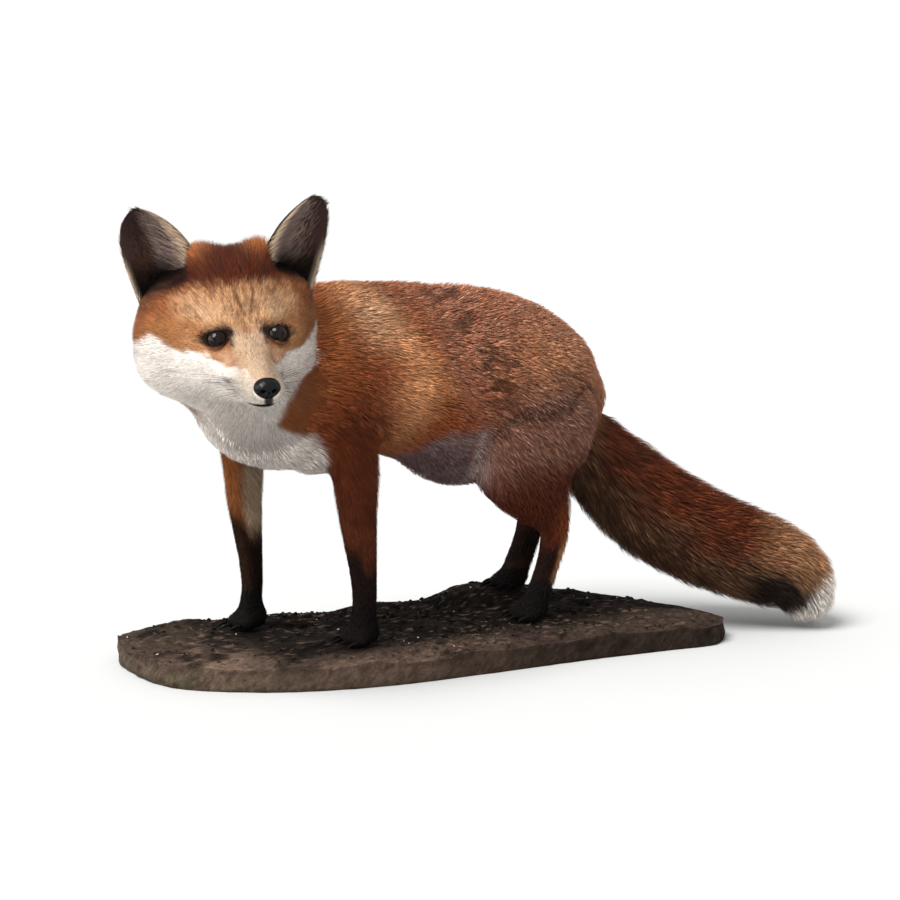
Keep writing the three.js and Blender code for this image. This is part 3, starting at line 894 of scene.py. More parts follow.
def face_white(local, rough, fine):
    """Where the cheeks, muzzle and throat are white: under a wavy edge that runs from the corners
    of the mouth below the eyes to the ruff, and before the neck's edge on the left side."""
    s = side_of_midline(local)
    a, left = np.abs(s), s > 0
    _, y, z = local.T
    behind = np.interp(a, *CHEEK_EDGE)
    behind = np.where(left, np.minimum(behind - 3 * ramp(a, 34, 46), -5), behind)
    before = np.interp(a, [0, 8, 14, 20, 28], [-17, -17, -12, -9, -10])
    edge = behind + (before - behind) * ramp(-y, 72, 84)
    white = ramp(edge - z + 2.2 * rough + 0.8 * fine, -2.5, 3.5) * (1 - ramp(y + 1.6 * rough, -6, 8))
    neck = s - np.interp(z, [-110, -98, -84, -65, -45, -28], [58, 46, 28, 34, 55, 96])
    white = white * (1 - left * ramp(neck + rough, -3, 5) * ramp(y, -60, -45))
    throat = ramp(-z, 44, 56) * (1 - ramp(y + rough, 4, 20)) * (1 - left * ramp(neck, -4, 6))
    return np.maximum(white, throat)


def head_colours(points, normals):
    """The head's markings in its own frame. Each one is blended over those before it: rust, a
    red-brown crown, a speckled brow, orange-brown eye patches, a pale bridge, white cheeks whose
    upward faces are tinted tan as painted shade, painted shade in the eye sockets, dark lids with
    tear and lash lines, black lips, and black skin before and under the ears, painted as shade deep
    in their openings."""
    local = to_head(points)
    _, y, z = local.T
    a = np.abs(side_of_midline(local))
    mirrored = folded(local, a)
    rough = layered(points, 9, 3, 5) * 3
    fine = noise(points, 2.2, 9)
    strip = noise(points * [1, 1, 0.6], 2.2, 23)
    flecks = noise(points * [1, 1, 0.5], 1.9, 21) + 0.3 * rough + 0.3 * ramp(z, 28, 44)
    crown = ramp(y + 4 * strip, -37, -26) * ramp(z + rough, 37, 51) * (1 - ramp(y, 22, 50))
    temple = spot(mirrored, (72, -8, 32), (26, 24, 15)) * ramp(strip, -0.4, 0.4)
    brow = 1 - ramp(y + 4 * strip, -37 + 0.15 * a, -26 + 0.15 * a)
    brow = brow * (1 - ramp(-z, -16, -6)) * (1 - ramp(a, 50, 66))
    pale = painted(
        "brow",
        ("bridge", 0.5 * ramp(fine, 0.15, 0.9)),
        ("crown", 0.65 * ramp(flecks, 0.05, 0.75)),
    )
    cheek = ramp(a, 30, 44) * (1 - ramp(y, -30, -8)) * (1 - ramp(z, 12, 30)) * ramp(z, -30, -10)
    bridge = ramp(-y, 48, 60) * (1 - ramp(a, 13, 19)) * ramp(z, -26, -14)
    colour = painted(
        hue("rust") * (1 + 0.25 * noise(points, 12, 3))[:, None],
        ("cheek", 0.45 * ramp(fine, -0.2, 1) + 0.4),
        ("crown", 0.95 * crown),
        ("dark", 0.7 * crown * ramp(fine, -0.3, 0.6) + 0.35 * spot(mirrored, (12, -6, 68), (16, 12, 18))),
        ("orange", 0.9 * spot(mirrored, (31, 4, 72), (14, 16, 12))),
        ("orange", 0.5 * spot(mirrored, (0, 22, 76), (12, 16, 12))),
        ("dark", 0.75 * temple),
        (pale, brow),
        ("bridge", 0.5 * spot(mirrored, (34, -42, 25), (15, 11, 8)) * ramp(strip, -0.6, 0.3)),
        ("cheek", 0.85 * cheek),
        ("bridge", 0.9 * bridge),
        ("cheek", 0.35 * bridge * ramp(a, 5, 12) * ramp(-y, 60, 80)),
    )
    for path, width, strength in BROW_LINES:
        away = to_path(local, path)[1] + 0.5 * fine
        colour = painted(colour, (hue("crown") * 0.6, strength * bell(away, width)))
    under = spot(mirrored, (27, -60, -8), (17, 12, 7)) + spot(mirrored, (46, -48, 2), (14, 12, 8))
    # The white's upward faces are tinted tan, as painted shade against the light from above.
    snow = painted(
        "white",
        ("lilac", 0.12 * noise(points, 7, 31)),
        ("lilac", 0.3 * ramp(noise(points * [1, 1, 2], 2.6, 33), 0.25, 0.9)),
        ("bridge", 0.35 * ramp(normals[:, 2], -0.1, 0.6)),
    )
    colour = painted(
        colour,
        ("brow", 0.6 * under),
        ("bridge", 0.6 * spot(mirrored, (22, -73, -12), (8, 13, 10))),
        (snow, face_white(local, rough, fine)),
        *(("dark", strength * spot(mirrored, centre, radii)) for centre, radii, strength in CHEEK_MARKS),
    )
    for _, side in SIDES:
        edge, u, v, _ = lid_shape(local, side)
        near = (np.hypot(u, v) < 34) * (y < -30)
        # Painted shade in the socket round each eye.
        socket = bell(np.hypot(u * 0.75, v * 1.0 - 1), 11) * near
        flat = stacked(u, v, 0)
        tear = to_path(flat, [(-9, 1.5, 0), (-15, 0, 0), (-18, -5, 0)])[1]
        lash = to_path(flat, [(9, -0.5, 0), (17, -2.6, 0)])[1]
        rim = 1 - ramp(edge + 0.12 * fine - 0.18 * (v > 0), 1.2, 1.7)
        rim = np.maximum(rim, np.maximum(0.75 * bell(tear, 1.9), 0.6 * bell(lash, 1.5)))
        colour = painted(colour, ("crown", 0.45 * socket), ("black", 0.96 * rim * near))
    gap, _ = mouth_distance(local)
    lips = ramp(3.2 - gap, 0, 1.2) * ramp(-y, 84, 100) + 0.45 * ramp(2.2 - gap, 0, 1.4) * ramp(-y, 66, 76)
    # Painted shade: black deep in each ear's opening, and along a line below the right ear's cup.
    low_cup = to_path(local, [(-80, 16, 31), (-69, 0, 37), (-58, -11, 42), (-49, -10, 47)])[1]
    cups = []
    for _, side in SIDES:
        _, between, above, inside, _ = ear_opening(local, side)
        dark = between * ramp(above, -9, -2) * ramp(inside[:, 1] + 3 * rough, -26, -12)
        cups.append(("black", 0.95 * (dark * (1 - ramp(inside[:, 1], 14, 24)))))
    return painted(
        colour,
        ("bridge", 0.35 * ramp(-y, 84, 100) * ramp(z, -40, -30)),
        ("black", lips),
        ("black", 0.95 * ramp(spot(local, (5, -121, -34), (4, 8, 7)), 0.1, 0.6)),
        *cups,
        ("black", 0.95 * (bell(low_cup, 9) * ramp(strip, -1.4, -0.4))),
    )


def ear_colours(points):
    """Black velvet behind, and rust at the root. In front a dark brown skin, black low in the cup as
    painted shade in its depth, grey-brown inwards, and cream at the rims, but black on the left ear's
    inner rim."""
    local = to_head(points)
    _, front = on_ear(points)
    colour = hue("black")
    for _, side in SIDES:
        across, _, up = in_ear(local, side).T
        up = np.clip(up / EAR_HEIGHT, 0, EAR_END)
        mine = local[:, 0] * side > 0
        middle, half, _ = ear_section(side, up)
        p = (across - middle) / half
        rim = np.maximum(ramp(-p, 0.86, 0.98), ramp(p, 0.9, 0.99) * (1 - ramp(up, 0.35, 0.6)))
        dark_rim = (side > 0) & (p < 0) & (up > 0.3)
        # Painted shade: the lining is black low in the cup and turns to the dark skin higher up.
        lining = painted(
            "black",
            ("ear_skin", ramp(up, 0.25, 0.6)),
            ("cheek", 0.3 * spot(stacked(p, up, 0), (0.1, 0.45, 0), (0.5, 0.2, 1))),
            ("ear_hair", 0.6 * ramp(-p, 0.2 - 0.6 * (side > 0), 0.7) * ramp(up, 0.1, 0.3)),
            ("cream", 0.9 * rim * ~dark_rim),
            ("black", 0.9 * rim * dark_rim),
        )
        colour = np.where((mine & (front > 0.5))[:, None], lining, colour)
        root_side = bell(up, 0.3) * (front < 0.5)
        colour = np.where(mine[:, None], painted(colour, ("rust", 0.7 * root_side)), colour)
    return colour


def bib(points):
    """How far places lie before and below the slanting plane that ends the white bib. The plane
    stands higher on the right side of the breast than on the left side of the throat."""
    x, y, z = points.T
    right = 34 * ramp(-x, -20, 20) * (1 - 0.7 * ramp(z, 290, 335))
    left = 26 * ramp(z, 248, 285) * ramp(x, 0, 40)
    return -(y + 176) - 0.99 * (z - 252) - 0.46 * (np.abs(x) - 63) + right - left


def body_colours(points, normals, share):
    """Trunk, neck, brush and legs. The colours are blended one over another from the back down:
    rust shoulders, a golden band behind them, a grizzled saddle with painted shade in its partings,
    painted shade on the lower trunk, the forelegs, the lower thighs and in the crease before each
    thigh, a lilac-grey belly that is painted darker below as shade, a white bib, black stockings,
    and the brush."""
    x, y, z = points.T
    left, right = x > 0, x < 0
    rough = layered(points, 24, 3, 11)
    strands = noise(points * np.array([1, 0.3, 1]), 4.0, 41)
    fine = noise(points, 2.4, 45)
    locks = layered(points * np.array([1, 0.6, 1.15]), 13, 2, 51)
    inside = -normals[:, 0] * np.sign(x)
    centre = np.interp(z, [230, 261, 313, 345, 373], [-66, -60, -58, -90, -106])
    band = bell(y - centre + 8 * rough, np.interp(z, [300, 350], [28, 27]))
    band = band * (1 - 0.3 * ramp(z, 368, 386)) * ramp(z, 190, 285)
    band = np.maximum(band, 0.6 * spot(points, (72, -22, 288), (30, 26, 17)))
    back = painted(
        "saddle",
        ("rust", 0.4 * ramp(strands, -0.1, 0.9) * (1 - ramp(y, 60, 130))),
        ("pale", 0.35 * ramp(noise(points, 3.0, 61) + 0.5 * locks, 0.1, 0.8) * ramp(z, 270, 320)),
        ("golden", 0.45 * spot(points, (68, 104, 292), (40, 46, 40))),
        ("rump", 0.5 * ramp(y + 20 * rough, 90, 150)),
    )
    low_flank = ramp(250 - z + 10 * rough, -12, 12) * ramp(y, -60, -30) * (1 - ramp(y, 5, 30))
    under = np.interp(y, [-110, -90, -61, -41, -22, 0, 30, 60], [205, 214, 220, 226, 235, 239, 238, 225])
    # The belly's grey is slate low down and lilac higher up: partly its own colour, partly painted shade.
    grey = painted(
        "slate",
        ("lilac", 0.3 * ramp(layered(points, 11, 2, 71), -0.1, 0.8) + 0.35 * ramp(z, 205, 238)),
        ("lilac", 0.8 * bell(y - 30, 8) * ramp(z, 165, 185)),
    )
    rear = ramp(normals[:, 1], -0.1, 0.5)
    shank = 1 - ramp(z + 8 * rough, 100, 128)
    # The thigh is darker low down than above, partly its own colour and partly painted shade.
    leg = painted(
        "thigh",
        ("thigh_grey", 0.9 * ramp(z + 14 * rough - 0.25 * (y - 100), 168, 222)),
        ("pale", 0.35 * ramp(z + 12 * rough, 175, 235) * ramp(noise(points, 2.6, 81), -0.2, 0.7)),
        ("deep", 0.5 * ramp(strands, 0, 0.9)),
        ("rust", 0.6 * ramp(y - 97, 12, 30) * (1 - ramp(z, 140, 170))),
        ("lilac", 0.8 * spot(points, (54, 30, 205), (16, 8, 22))),
        ("black", 0.9 * shank * (1 - rear * left)),
        ("tan", 0.75 * shank * rear * left * ramp(z, 45, 70)),
        ("black", 0.75 * right * (1 - ramp(z, 150, 190))),
        ("slate", 0.6 * ramp(inside, 0.2, 0.8) * ramp(z, 130, 160) * (1 - ramp(y, 100, 140))),
    )
    front = ramp(-normals[:, 1], 0.1, 0.8)
    stocking = np.where(left, 112, 133) + 22 * front + 9 * rough
    pale_side = 0.9 * ramp(inside, 0.1, 0.6) * ramp(z + 10 * fine, 118, 145)
    # The forelegs are painted deep red all over and darker low on the left, partly as painted shade.
    arm = painted(
        "rust",
        ("deep", 0.6 + 0.4 * ramp(strands + rough, -0.7, 0.6)),
        ("bridge", pale_side * ramp(normals[:, 1], -0.7, -0.1)),
        ("dark", 0.35 * left * (1 - ramp(z, 150, 215))),
        ("orange", 0.7 * right * front),
        ("black", 0.95 * (1 - ramp(z, stocking - 16, stocking + 16))),
    )
    low = np.maximum(1 - ramp(z, 66, 80), np.clip(1.8 * share["paw"], 0, 1))
    crease = bell(crease_distance(points + 4 * fine[:, None]), 6) * ramp(z, 215, 240)
    groin = bell(to_path(points * [0, 1, 1], GROIN)[1], 4.5) * ramp(np.abs(x), 30, 40)
    chest = ramp(bib(points) + 12 * rough, -5, 12) * (share["trunk"] + share["neck"] + share["head"])
    return painted(
        "rust",
        ("orange", 0.5 * ramp(strands + rough, 0, 1.4)),
        ("deep", 0.6 * ramp(-strands + rough, 0.1, 1.3)),
        ("deep", 0.45 * ramp(z, 355, 380) * ramp(y, -170, -100)),
        ("deep", 0.75 * spot(folded(points, x), (68, -128, 248), (30, 34, 40))),
        ("deep", 0.6 * spot(points, (70, -118, 304), (40, 24, 26)) * ramp(strands + rough, -0.6, 0.5)),
        ("orange", 0.45 * spot(points, (60, -140, 345), (60, 34, 40))),
        ("golden", 0.85 * band * (1 - 0.45 * ramp(-x, 0, 40))),
        ("bridge", 0.42 * spot(points, (48, -98, 358), (40, 30, 30))),
        (back, 0.94 * ramp(y + 16 * rough + 0.5 * (z - 300), -44, -4)),
        # Painted shade: dark in the partings between locks, and deep red on the lower trunk.
        ("dark", 0.62 * furrows(points) * share["trunk"]),
        ("deep", 0.3 * ramp(290 - z + 14 * rough, 0, 50) * share["trunk"]),
        ("rust", 0.6 * low_flank),
        (grey, ramp(under - z + 9 * rough, -9, 12) * share["trunk"] * ramp(y, -110, -85)),
        (leg, share["hind"]),
        (arm, share["fore"]),
        ("black", low * (1 - share["tail"])),
        # Painted shade in the crease before each thigh.
        ("dark", 0.66 * crease * (0.7 + 0.3 * ramp(rough, -0.4, 0.4))),
        (hue("lilac") * 1.15, 0.85 * groin * (share["trunk"] + share["hind"])),
        # The bib's white turns more lilac lower down, partly as painted shade.
        (
            painted("white", ("lilac", 0.1 + 0.1 * ramp(-z, -262, -215) + 0.2 * rough)),
            chest * (1 - 0.6 * ramp(z, 262, 290) * ramp(x, -20, 20)),
        ),
        (brush_colours(points, normals), share["tail"]),
    )


def brush_colours(points, normals):
    """The brush by its share of the length: rust above with a dark ridge, olive-brown below, then
    tan, a black patch under the end, and white at the tip."""
    share = to_path(points, TAIL_PATH)[0]
    rough = layered(points, 20, 3, 91)
    strands = noise(points * 0.8, 4.5, 95)
    streaks = noise(points, 3.0, 97)
    up = normals[:, 2]
    upper = ramp(up + 0.35 * rough, -0.3, 0.5)
    tan = ramp(share + 0.05 * rough, 0.65, 0.85)
    ridge = painted(
        "brush",
        ("dark", 0.55 * ramp(strands + 0.6 * rough, 0.0, 0.9)),
        ("rust", 0.4 * ramp(-strands, 0, 0.8)),
    )
    return painted(
        "olive",
        ("dark", 0.6 * ramp(strands, -0.1, 0.7)),
        ("tan", 0.35 * ramp(streaks, 0.1, 0.8)),
        (ridge, upper),
        ("black", 0.6 * spot(points, (3, 196, 250), (26, 22, 26))),
        ("dark", 0.4 * ramp(up, 0.8, 0.97) * ramp(share, 0.1, 0.3)),
        ("dark", 0.65 * spot(points, (32, 254, 195), (22, 30, 13))),
        ("tan", tan * (0.25 + 0.65 * upper) * (0.75 + 0.25 * streaks)),
        ("black", 0.92 * ramp(share, 0.69, 0.77) * ramp(-up + 0.25 * rough, -0.15, 0.2)),
        ("white", 0.9 * ramp(share + 0.02 * rough, 0.89, 0.93)),
    )


def coat_colours(points, normals, share):
    """Linear colours for places on the skin."""
    colour = body_colours(points, normals, share)
    local = to_head(points)
    nape = share["head"] * (1 - ramp(-local[:, 2], 70, 95) * ramp(bib(points), 0, 20))
    some = nape > 0.01
    colour[some] = painted(colour[some], (head_colours(points[some], normals[some]), nape[some]))
    some = share["ear"] > 0.5
    colour[some] = ear_colours(points[some])
    return np.clip(colour, 0.002, 1)


def furrows(points):
    """The partings between locks behind the shoulders, from 0 to 1, where the coat is painted dark as
    shade and its tufts stand lower: along the lines where either of two bent noises passes through
    nought, within a slanting band down the flank."""
    bent = points + 7 * np.stack([noise(points, 15, seed) for seed in (63, 64, 65)], axis=1)
    fold = 1 - np.abs(noise(bent * [1, 0.6, 1.3], 11, 67))
    small = 1 - np.abs(noise(bent * [1, 0.7, 1.2], 4.2, 69))
    _, y, z = points.T
    middle = np.interp(z, [255, 300, 330, 372], [52, 34, 22, 6])
    strip = bell(y - middle, 30) * ramp(z, 236, 256)
    around = 0.3 * ramp(y, -45, -20) * (1 - ramp(y, 120, 180)) * ramp(z, 250, 275)
    lines = np.maximum(ramp(fold, 0.66, 0.92), 0.45 * ramp(small, 0.72, 0.95))
    return lines * np.clip(strip + around, 0, 1)


def paleness(points, share):
    """How far the hair's tips pale: on the back behind the shoulders and on the thighs."""
    _, y, z = points.T
    return share["trunk"] * ramp(y, -50, 0) * ramp(z, 280, 325) + 0.8 * share["hind"] * ramp(z, 185, 225)


# ---- the coat ----


def spread_roots(weight, count, rng):
    """Triangles and places in them, in proportion to the weights: one root in each equal step of
    the running total, and corner shares (1 - sqrt(r), sqrt(r)(1 - q), sqrt(r) q)."""
    total = np.cumsum(weight)
    aim = (np.arange(count) + rng.random(count)) / count * total[-1]
    triangle = np.searchsorted(total, aim)
    r, q = np.sqrt(rng.random(count)), rng.random(count)
    return triangle, np.stack([1 - r, r * (1 - q), r * q], axis=1)


def tuft_mesh(roots, up, way, length, width, stand, bend, tip_shift, shares):
    """Flat three-sided spikes. At share t of its length a tuft's middle is at
    root + way L t + up (stand (1 - (1 - t)^2) - bend (L t)^2 / 2) + tip_shift t^2, and its half
    width is W / 2 sin(pi (0.18 + 0.82 t)^0.8) at the rings and 0 at the tip."""
    side = unit(np.cross(way, up))
    ridge = np.cross(side, way)
    rings = []
    for t in shares:
        rise = stand * (1 - (1 - t) ** 2) - bend * (length * t) ** 2 / 2
        middle = roots + way * (length * t)[:, None] + up * rise[:, None] + tip_shift * t * t
        if t == 1:
            rings.append(middle[:, None])
            continue
        half = width / 2 * np.sin(np.pi * (0.18 + 0.82 * t) ** 0.8)
        corners = [side * half[:, None], ridge * half[:, None] * 0.7, -side * half[:, None]]
        rings.append(middle[:, None] + np.stack(corners, axis=1))
    points = np.concatenate(rings, axis=1)
    each = points.shape[1]
    faces = [(0, 2, 1)]
    for ring in range(len(shares) - 2):
        for k in range(3):
            low, high = 3 * ring + k, 3 * ring + (k + 1) % 3
            faces += [(low, high, high + 3), (low, high + 3, low + 3)]
    last = 3 * (len(shares) - 2)
    faces += [(last + k, last + (k + 1) % 3, each - 1) for k in range(3)]
    faces = np.array(faces)[None] + (np.arange(len(roots)) * each)[:, None, None]
    return points.reshape(-1, 3), faces.reshape(-1, 3)


def along_tuft(shares):
    """How far along its tuft each of a tuft's points lies: three at each ring and one at the tip."""
    return np.append(np.repeat(shares[:-1], 3), 1.0)


def unwrap(points, kind):
    """A root's place on the unwrapped skin: the turn about the part's axis, and the way along."""
    x, y, z = points.T
    along = y
    if kind == "head":
        local = to_head(points)
        around = np.arctan2(local[:, 0], local[:, 2] + 10)
        along = local[:, 1]
    elif kind == "tail":
        along = to_path(points, TAIL_PATH)[0]
        bends = [150, 230, 314, 405]
        middle = np.interp(y, bends, [0, 6, 48, 127]), np.interp(y, bends, [246, 162, 92, 17])
        around = np.arctan2(x - middle[0], z - middle[1])
    elif kind == "legs":
        centre = np.where(x > 0, 53, -54)
        middle = np.where(y < 0, np.where(x > 0, -108, -170), np.where(x > 0, 104, 138))
        around = np.arctan2(x - centre, y - middle) + np.where(x > 0, 0, 2 * np.pi)
        along = z
    else:
        around = np.arctan2(x - np.interp(y, [-250, -110], [42, 0]), z - 290)
    place = np.stack([around, along], axis=1)
    low, high = place.min(axis=0), place.max(axis=0)
    return 0.01 + 0.98 * (place - low) / (high - low)


def hair_piece(name, slot, kind, roots, tufts, shares, tints):
    """Makes one piece of tufts with their tints. Its baking map gives each tuft a small patch of
    its own, at its root's place on the unwrapped skin."""
    points, faces = tufts
    material = bpy.data.materials["guard_hair"]
    piece = mesh_object(name, points, faces, material, True, tints.reshape(-1, 3))
    across = np.concatenate([[0, 0.5, 1] * (len(shares) - 1), [0.5]])
    patch = BAKE_PATCH * (np.stack([across, along_tuft(shares)], axis=1) - 0.5)
    spread = (unwrap(roots, kind)[:, None] + patch[None]).reshape(-1, 2)
    bake_map = piece.data.uv_layers.new(name="OFBake")
    bake_map.data.foreach_set("uv", spread[faces].astype(np.float32).ravel())
    settled(piece, slot)


def off_floor(height):
    """Heights below 4 squeezed above the floor: 0.4 + 3.6 exp((z - 4) / 3.6)."""
    return np.where(height < 4, 0.4 + 3.6 * np.exp((height - 4) / 3.6), height)


def lay_coat(name, slot, skin, weight, count, kind, seed, shares, wild, ruffle):
    """Lays one piece of the coat: roots over the weighted triangles of the skin, each with the
    skin's own blend of length, width, depth, way and markings, and a little chance of its own.
    wild is how far tufts stray sideways, and ruffle how far the coat swells in locks."""
    rng = np.random.default_rng(seed)
    triangle, inside = spread_roots(weight, count, rng)
    corners = skin["faces"][triangle]

    def at(values):
        picked = values[corners]
        return (picked * inside[..., None]).sum(axis=1) if values.ndim > 1 else (picked * inside).sum(1)

    roots, up, way = at(skin["points"]), unit(at(skin["normals"])), at(skin["way"])
    depth, length, width = at(skin["rules"]).T
    share = by_kind(at(skin["share"]))
    way = unit(way - up * dot(way, up)[:, None])
    side = np.cross(way, up)
    grizzled = paleness(roots, share)
    sway = wild * (rng.normal(0, 0.11, count) * (1 + 1.3 * grizzled) + 0.26 * noise(roots, 16, seed))
    way = unit(way + side * sway[:, None])
    length = length * rng.uniform(0.72, 1.18, count)
    width = width * rng.uniform(0.75, 1.25, count)
    swell = 1 + ruffle * layered(roots * np.array([1, 0.7, 1]), 15, 2, seed + 5) - 0.6 * furrows(roots)
    stand = depth * rng.uniform(0.6, 1.0, count) * swell
    side = np.cross(way, up)
    lock = side * noise(roots, 7, seed + 1)[:, None] + up * 0.5 * noise(roots, 9, seed + 2)[:, None]
    tip_shift = lock * (length * 0.11 * wild * (1 + 2.0 * grizzled))[:, None]
    colour = coat_colours(roots, up, share)
    furred = ramp(to_head(roots)[:, 2], -20, 5) * share["head"]
    varied = rng.normal(0, 0.19, count) * (1 + 0.25 * grizzled + 0.3 * furred)
    varied = varied - (0.55 + 0.3 * furred) * (rng.random(count) < 0.12 + 0.08 * furred)
    colour = colour * np.exp(varied)[:, None]
    roots = roots - up * ROOT_DEPTH
    points, faces = tuft_mesh(roots, up, way, length, width, stand, at(skin["bend"]), tip_shift, shares)
    points[:, 2] = off_floor(points[:, 2])
    # Painted shade: each tuft is darker at its root, where the tufts shade one another, and lighter
    # towards its tip.
    shade = np.interp(along_tuft(shares), [0, 0.3, 0.7, 1], [0.55, 0.86, 1.08, 1.16])
    tints = colour[:, None] * shade[None, :, None]
    tips = 0.5 * grizzled * rng.random(count) ** 1.5
    tints[:, -1] = painted(tints[:, -1], (hue("pale") * 1.1, tips))
    hair_piece(name, slot, kind, roots, (points, faces), shares, tints)


def coat_weights(skin):
    """Which triangles each piece of the coat covers, by the part that most of a triangle is on."""
    faces = skin["faces"]
    centre = skin["points"][faces].mean(axis=1)
    area = np.linalg.norm(face_normals(skin["points"], faces), axis=1)
    most = skin["share"][faces].mean(axis=1).argmax(axis=1)
    local = to_head(centre)
    s = side_of_midline(local)
    bare = np.zeros(len(faces), bool)
    for _, side in SIDES:
        edge, _, _, ahead = lid_shape(local, side)
        bare |= (edge < 1.14) & (ahead > -2) & (ahead < 16)
    mouth, _ = mouth_distance(local)
    bare |= (mouth < 2.0) & (local[:, 1] < -84)
    bare |= spot(local, NOSE_AT + [0, -2, 0], (12, 10, 10)) > 0.42
    left = centre[:, 0] > 0
    is_kind = {kind: (most == k) & ~bare for k, kind in enumerate(KINDS)}
    face = is_kind["head"] & (local[:, 1] < -22)
    muzzle = 1 + 0.9 * ramp(-local[:, 1], 60, 90)
    rest = is_kind["head"] & ~face
    foot = 1 + 0.5 * is_kind["paw"]
    fore = (is_kind["fore"] | (is_kind["paw"] & (centre[:, 1] < 0))) * foot
    hind = (is_kind["hind"] | (is_kind["paw"] & (centre[:, 1] > 0))) * foot
    return {
        "face_left": area * face * (s >= 0) * muzzle,
        "face_right": area * face * (s < 0) * muzzle,
        "head_left": area * rest * (s >= 0),
        "head_right": area * rest * (s < 0),
        "neck": area * is_kind["neck"],
        "flank_left": area * is_kind["trunk"] * left,
        "flank_right": area * is_kind["trunk"] * ~left,
        "brush": area * is_kind["tail"],
        "forelegs": area * fore,
        "hind_legs": area * hind,
        "ears": area * is_kind["ear"],
    }


def lay_whole_coat(skin, thin):
    """All pieces of the coat, with about 1.5 million triangles in all. Short hair is straight
    spikes. Long hair bends at one joint, over a fine straight undercoat."""
    weights = coat_weights(skin)
    straight, bent = (0, 1), (0, 0.5, 1)
    pieces = (
        ("face_left", "coat_face", 34000, "head", straight, 0.8, 0),
        ("face_right", "coat_face", 34000, "head", straight, 0.8, 0),
        ("head_left", "coat_face", 28000, "head", straight, 1, 0.1),
        ("head_right", "coat_face", 28000, "head", straight, 1, 0.1),
        ("neck", "coat_rust", 13500, "body", bent, 0.8, 0.1),
        ("flank_left", "coat_back", 19000, "body", bent, 0.8, 0.3),
        ("flank_left_fine", "coat_back", 22000, "body", straight, 0.8, 0.3),
        ("flank_right", "coat_back", 10000, "body", bent, 0.8, 0.3),
        ("flank_right_fine", "coat_back", 11000, "body", straight, 0.8, 0.3),
        ("brush", "coat_brush", 13000, "tail", bent, 0.55, 0.15),
        ("brush_fine", "coat_brush", 20000, "tail", straight, 0.55, 0.15),
        ("forelegs", "coat_rust", 22000, "legs", straight, 0.8, 0),
        ("hind_legs", "coat_back", 8000, "legs", bent, 0.8, 0.1),
        ("hind_legs_fine", "coat_back", 14000, "legs", straight, 0.8, 0.1),
        ("ears", "coat_ear", 9500, "head", straight, 0.6, 0),
    )
    for index, (name, slot, count, *rest) in enumerate(pieces):
        kind, shares, wild, ruffle = rest
        weight = weights[name.removesuffix("_fine")]
        seed = 7 + 10 * index
        lay_coat("coat_" + name, slot, skin, weight, int(count * thin), kind, seed, shares, wild, ruffle)


def lay_ear_hair():
    """Long hair rooted over each ear's cup, lying up and outwards: cream by the inner rim, grey
    further in, and dark in the depth of the cup, as painted shade."""
    rng = np.random.default_rng(71)
    batches = []
    for _, side in SIDES:
        turn, root = ear_place(side)
        count = EAR_HAIRS
        up = rng.beta(1.1, 1.4, count) * 0.88 + 0.04
        p = -1 + rng.beta(1.0, 1.6, count) * 1.75
        middle, half, bow = ear_section(side, up)
        place = stacked(side * (middle + p * half), bow * (1 - p * p) + 0.3, up * EAR_HEIGHT)
        normal = unit(stacked(side * (-2 * p * bow / half), -1, 0))
        lean = rng.normal(0, 0.14, count)
        outwards = ramp(p, -0.2, 0.5)
        sweep = 0.5 + lean + 0.3 * (1 - up) - 0.5 * outwards
        way = stacked(side * sweep, -0.22 - 0.1 * rng.random(count) * (p < 0), 0.85)
        length = rng.uniform(12, 24, count) * (1 - 0.55 * up) * (1 - 0.35 * outwards)
        # Painted light and shade: more of the right ear's hair, and its tips, turn to the dark skin's
        # colour than the left's.
        lit, top = ((0.3, 0.95), "ear_hair") if side > 0 else ((-0.2, 0.35), "ear_skin")
        tint = painted(
            "ear_hair",
            ("ear_skin", ramp(p, *lit)),
            ("cream", 0.9 * ramp(-p + 0.1 * lean, 0.55, 0.9)),
            ("black", (1 - ramp(up, 0.12, 0.42)) * ramp(p, -0.6, -0.25)),
            (top, 0.35 * ramp(up, 0.6, 0.92)),
        )
        tint = tint * np.exp(rng.normal(0, 0.2, count))[:, None]
        batches.append((place @ turn.T + root, normal @ turn.T, unit(way) @ turn.T, length, tint))
    place, normal, way, length, tint = (np.concatenate(part) for part in zip(*batches))
    place, normal, way = from_head(place), unit(normal @ HEAD_TURN.T), unit(way @ HEAD_TURN.T)
    shares = (0, 0.35, 0.7, 1)
    count = len(place)
    width = rng.uniform(0.45, 0.8, count)
    shift = unit(np.cross(way, normal)) * rng.normal(0, 1.2, count)[:, None]
    straight = np.zeros(count)
    tufts = tuft_mesh(place, normal, way, length, width, straight + 1.0, straight, shift, shares)
    # Painted shade: each hair is darker at its root and lighter towards its tip.
    shade = np.interp(along_tuft(shares), [0, 0.4, 1], [0.65, 1, 1.1])
    tints = tint[:, None] * shade[None, :, None]
    hair_piece("coat_ear_lining", "coat_ear", "head", place, tufts, shares, tints)


# ---- eyes, nose, claws and whiskers ----


def ball_grid(rows, columns):
    """Unit directions on a grid whose poles are on the last axis: (sin p cos q, sin p sin q,
    cos p) for p from 0 to pi and q all the way round, and the closed grid's triangles."""
    p = np.linspace(0, np.pi, rows)[1:-1, None]
    q = np.linspace(0, 2 * np.pi, columns, endpoint=False)[None]
    ring = stacked(np.sin(p) * np.cos(q), np.sin(p) * np.sin(q), np.cos(p))
    points = np.concatenate([[[0, 0, 1.0]], ring.reshape(-1, 3), [[0, 0, -1.0]]])
    last = len(points) - 1
    quads = triangles_of(grid_faces(rows - 2, columns, around=True) + 1)
    ends = fan_faces(1, columns, 0), fan_faces(last - columns, columns, last, reverse=True)
    return points, np.concatenate([quads, *ends])


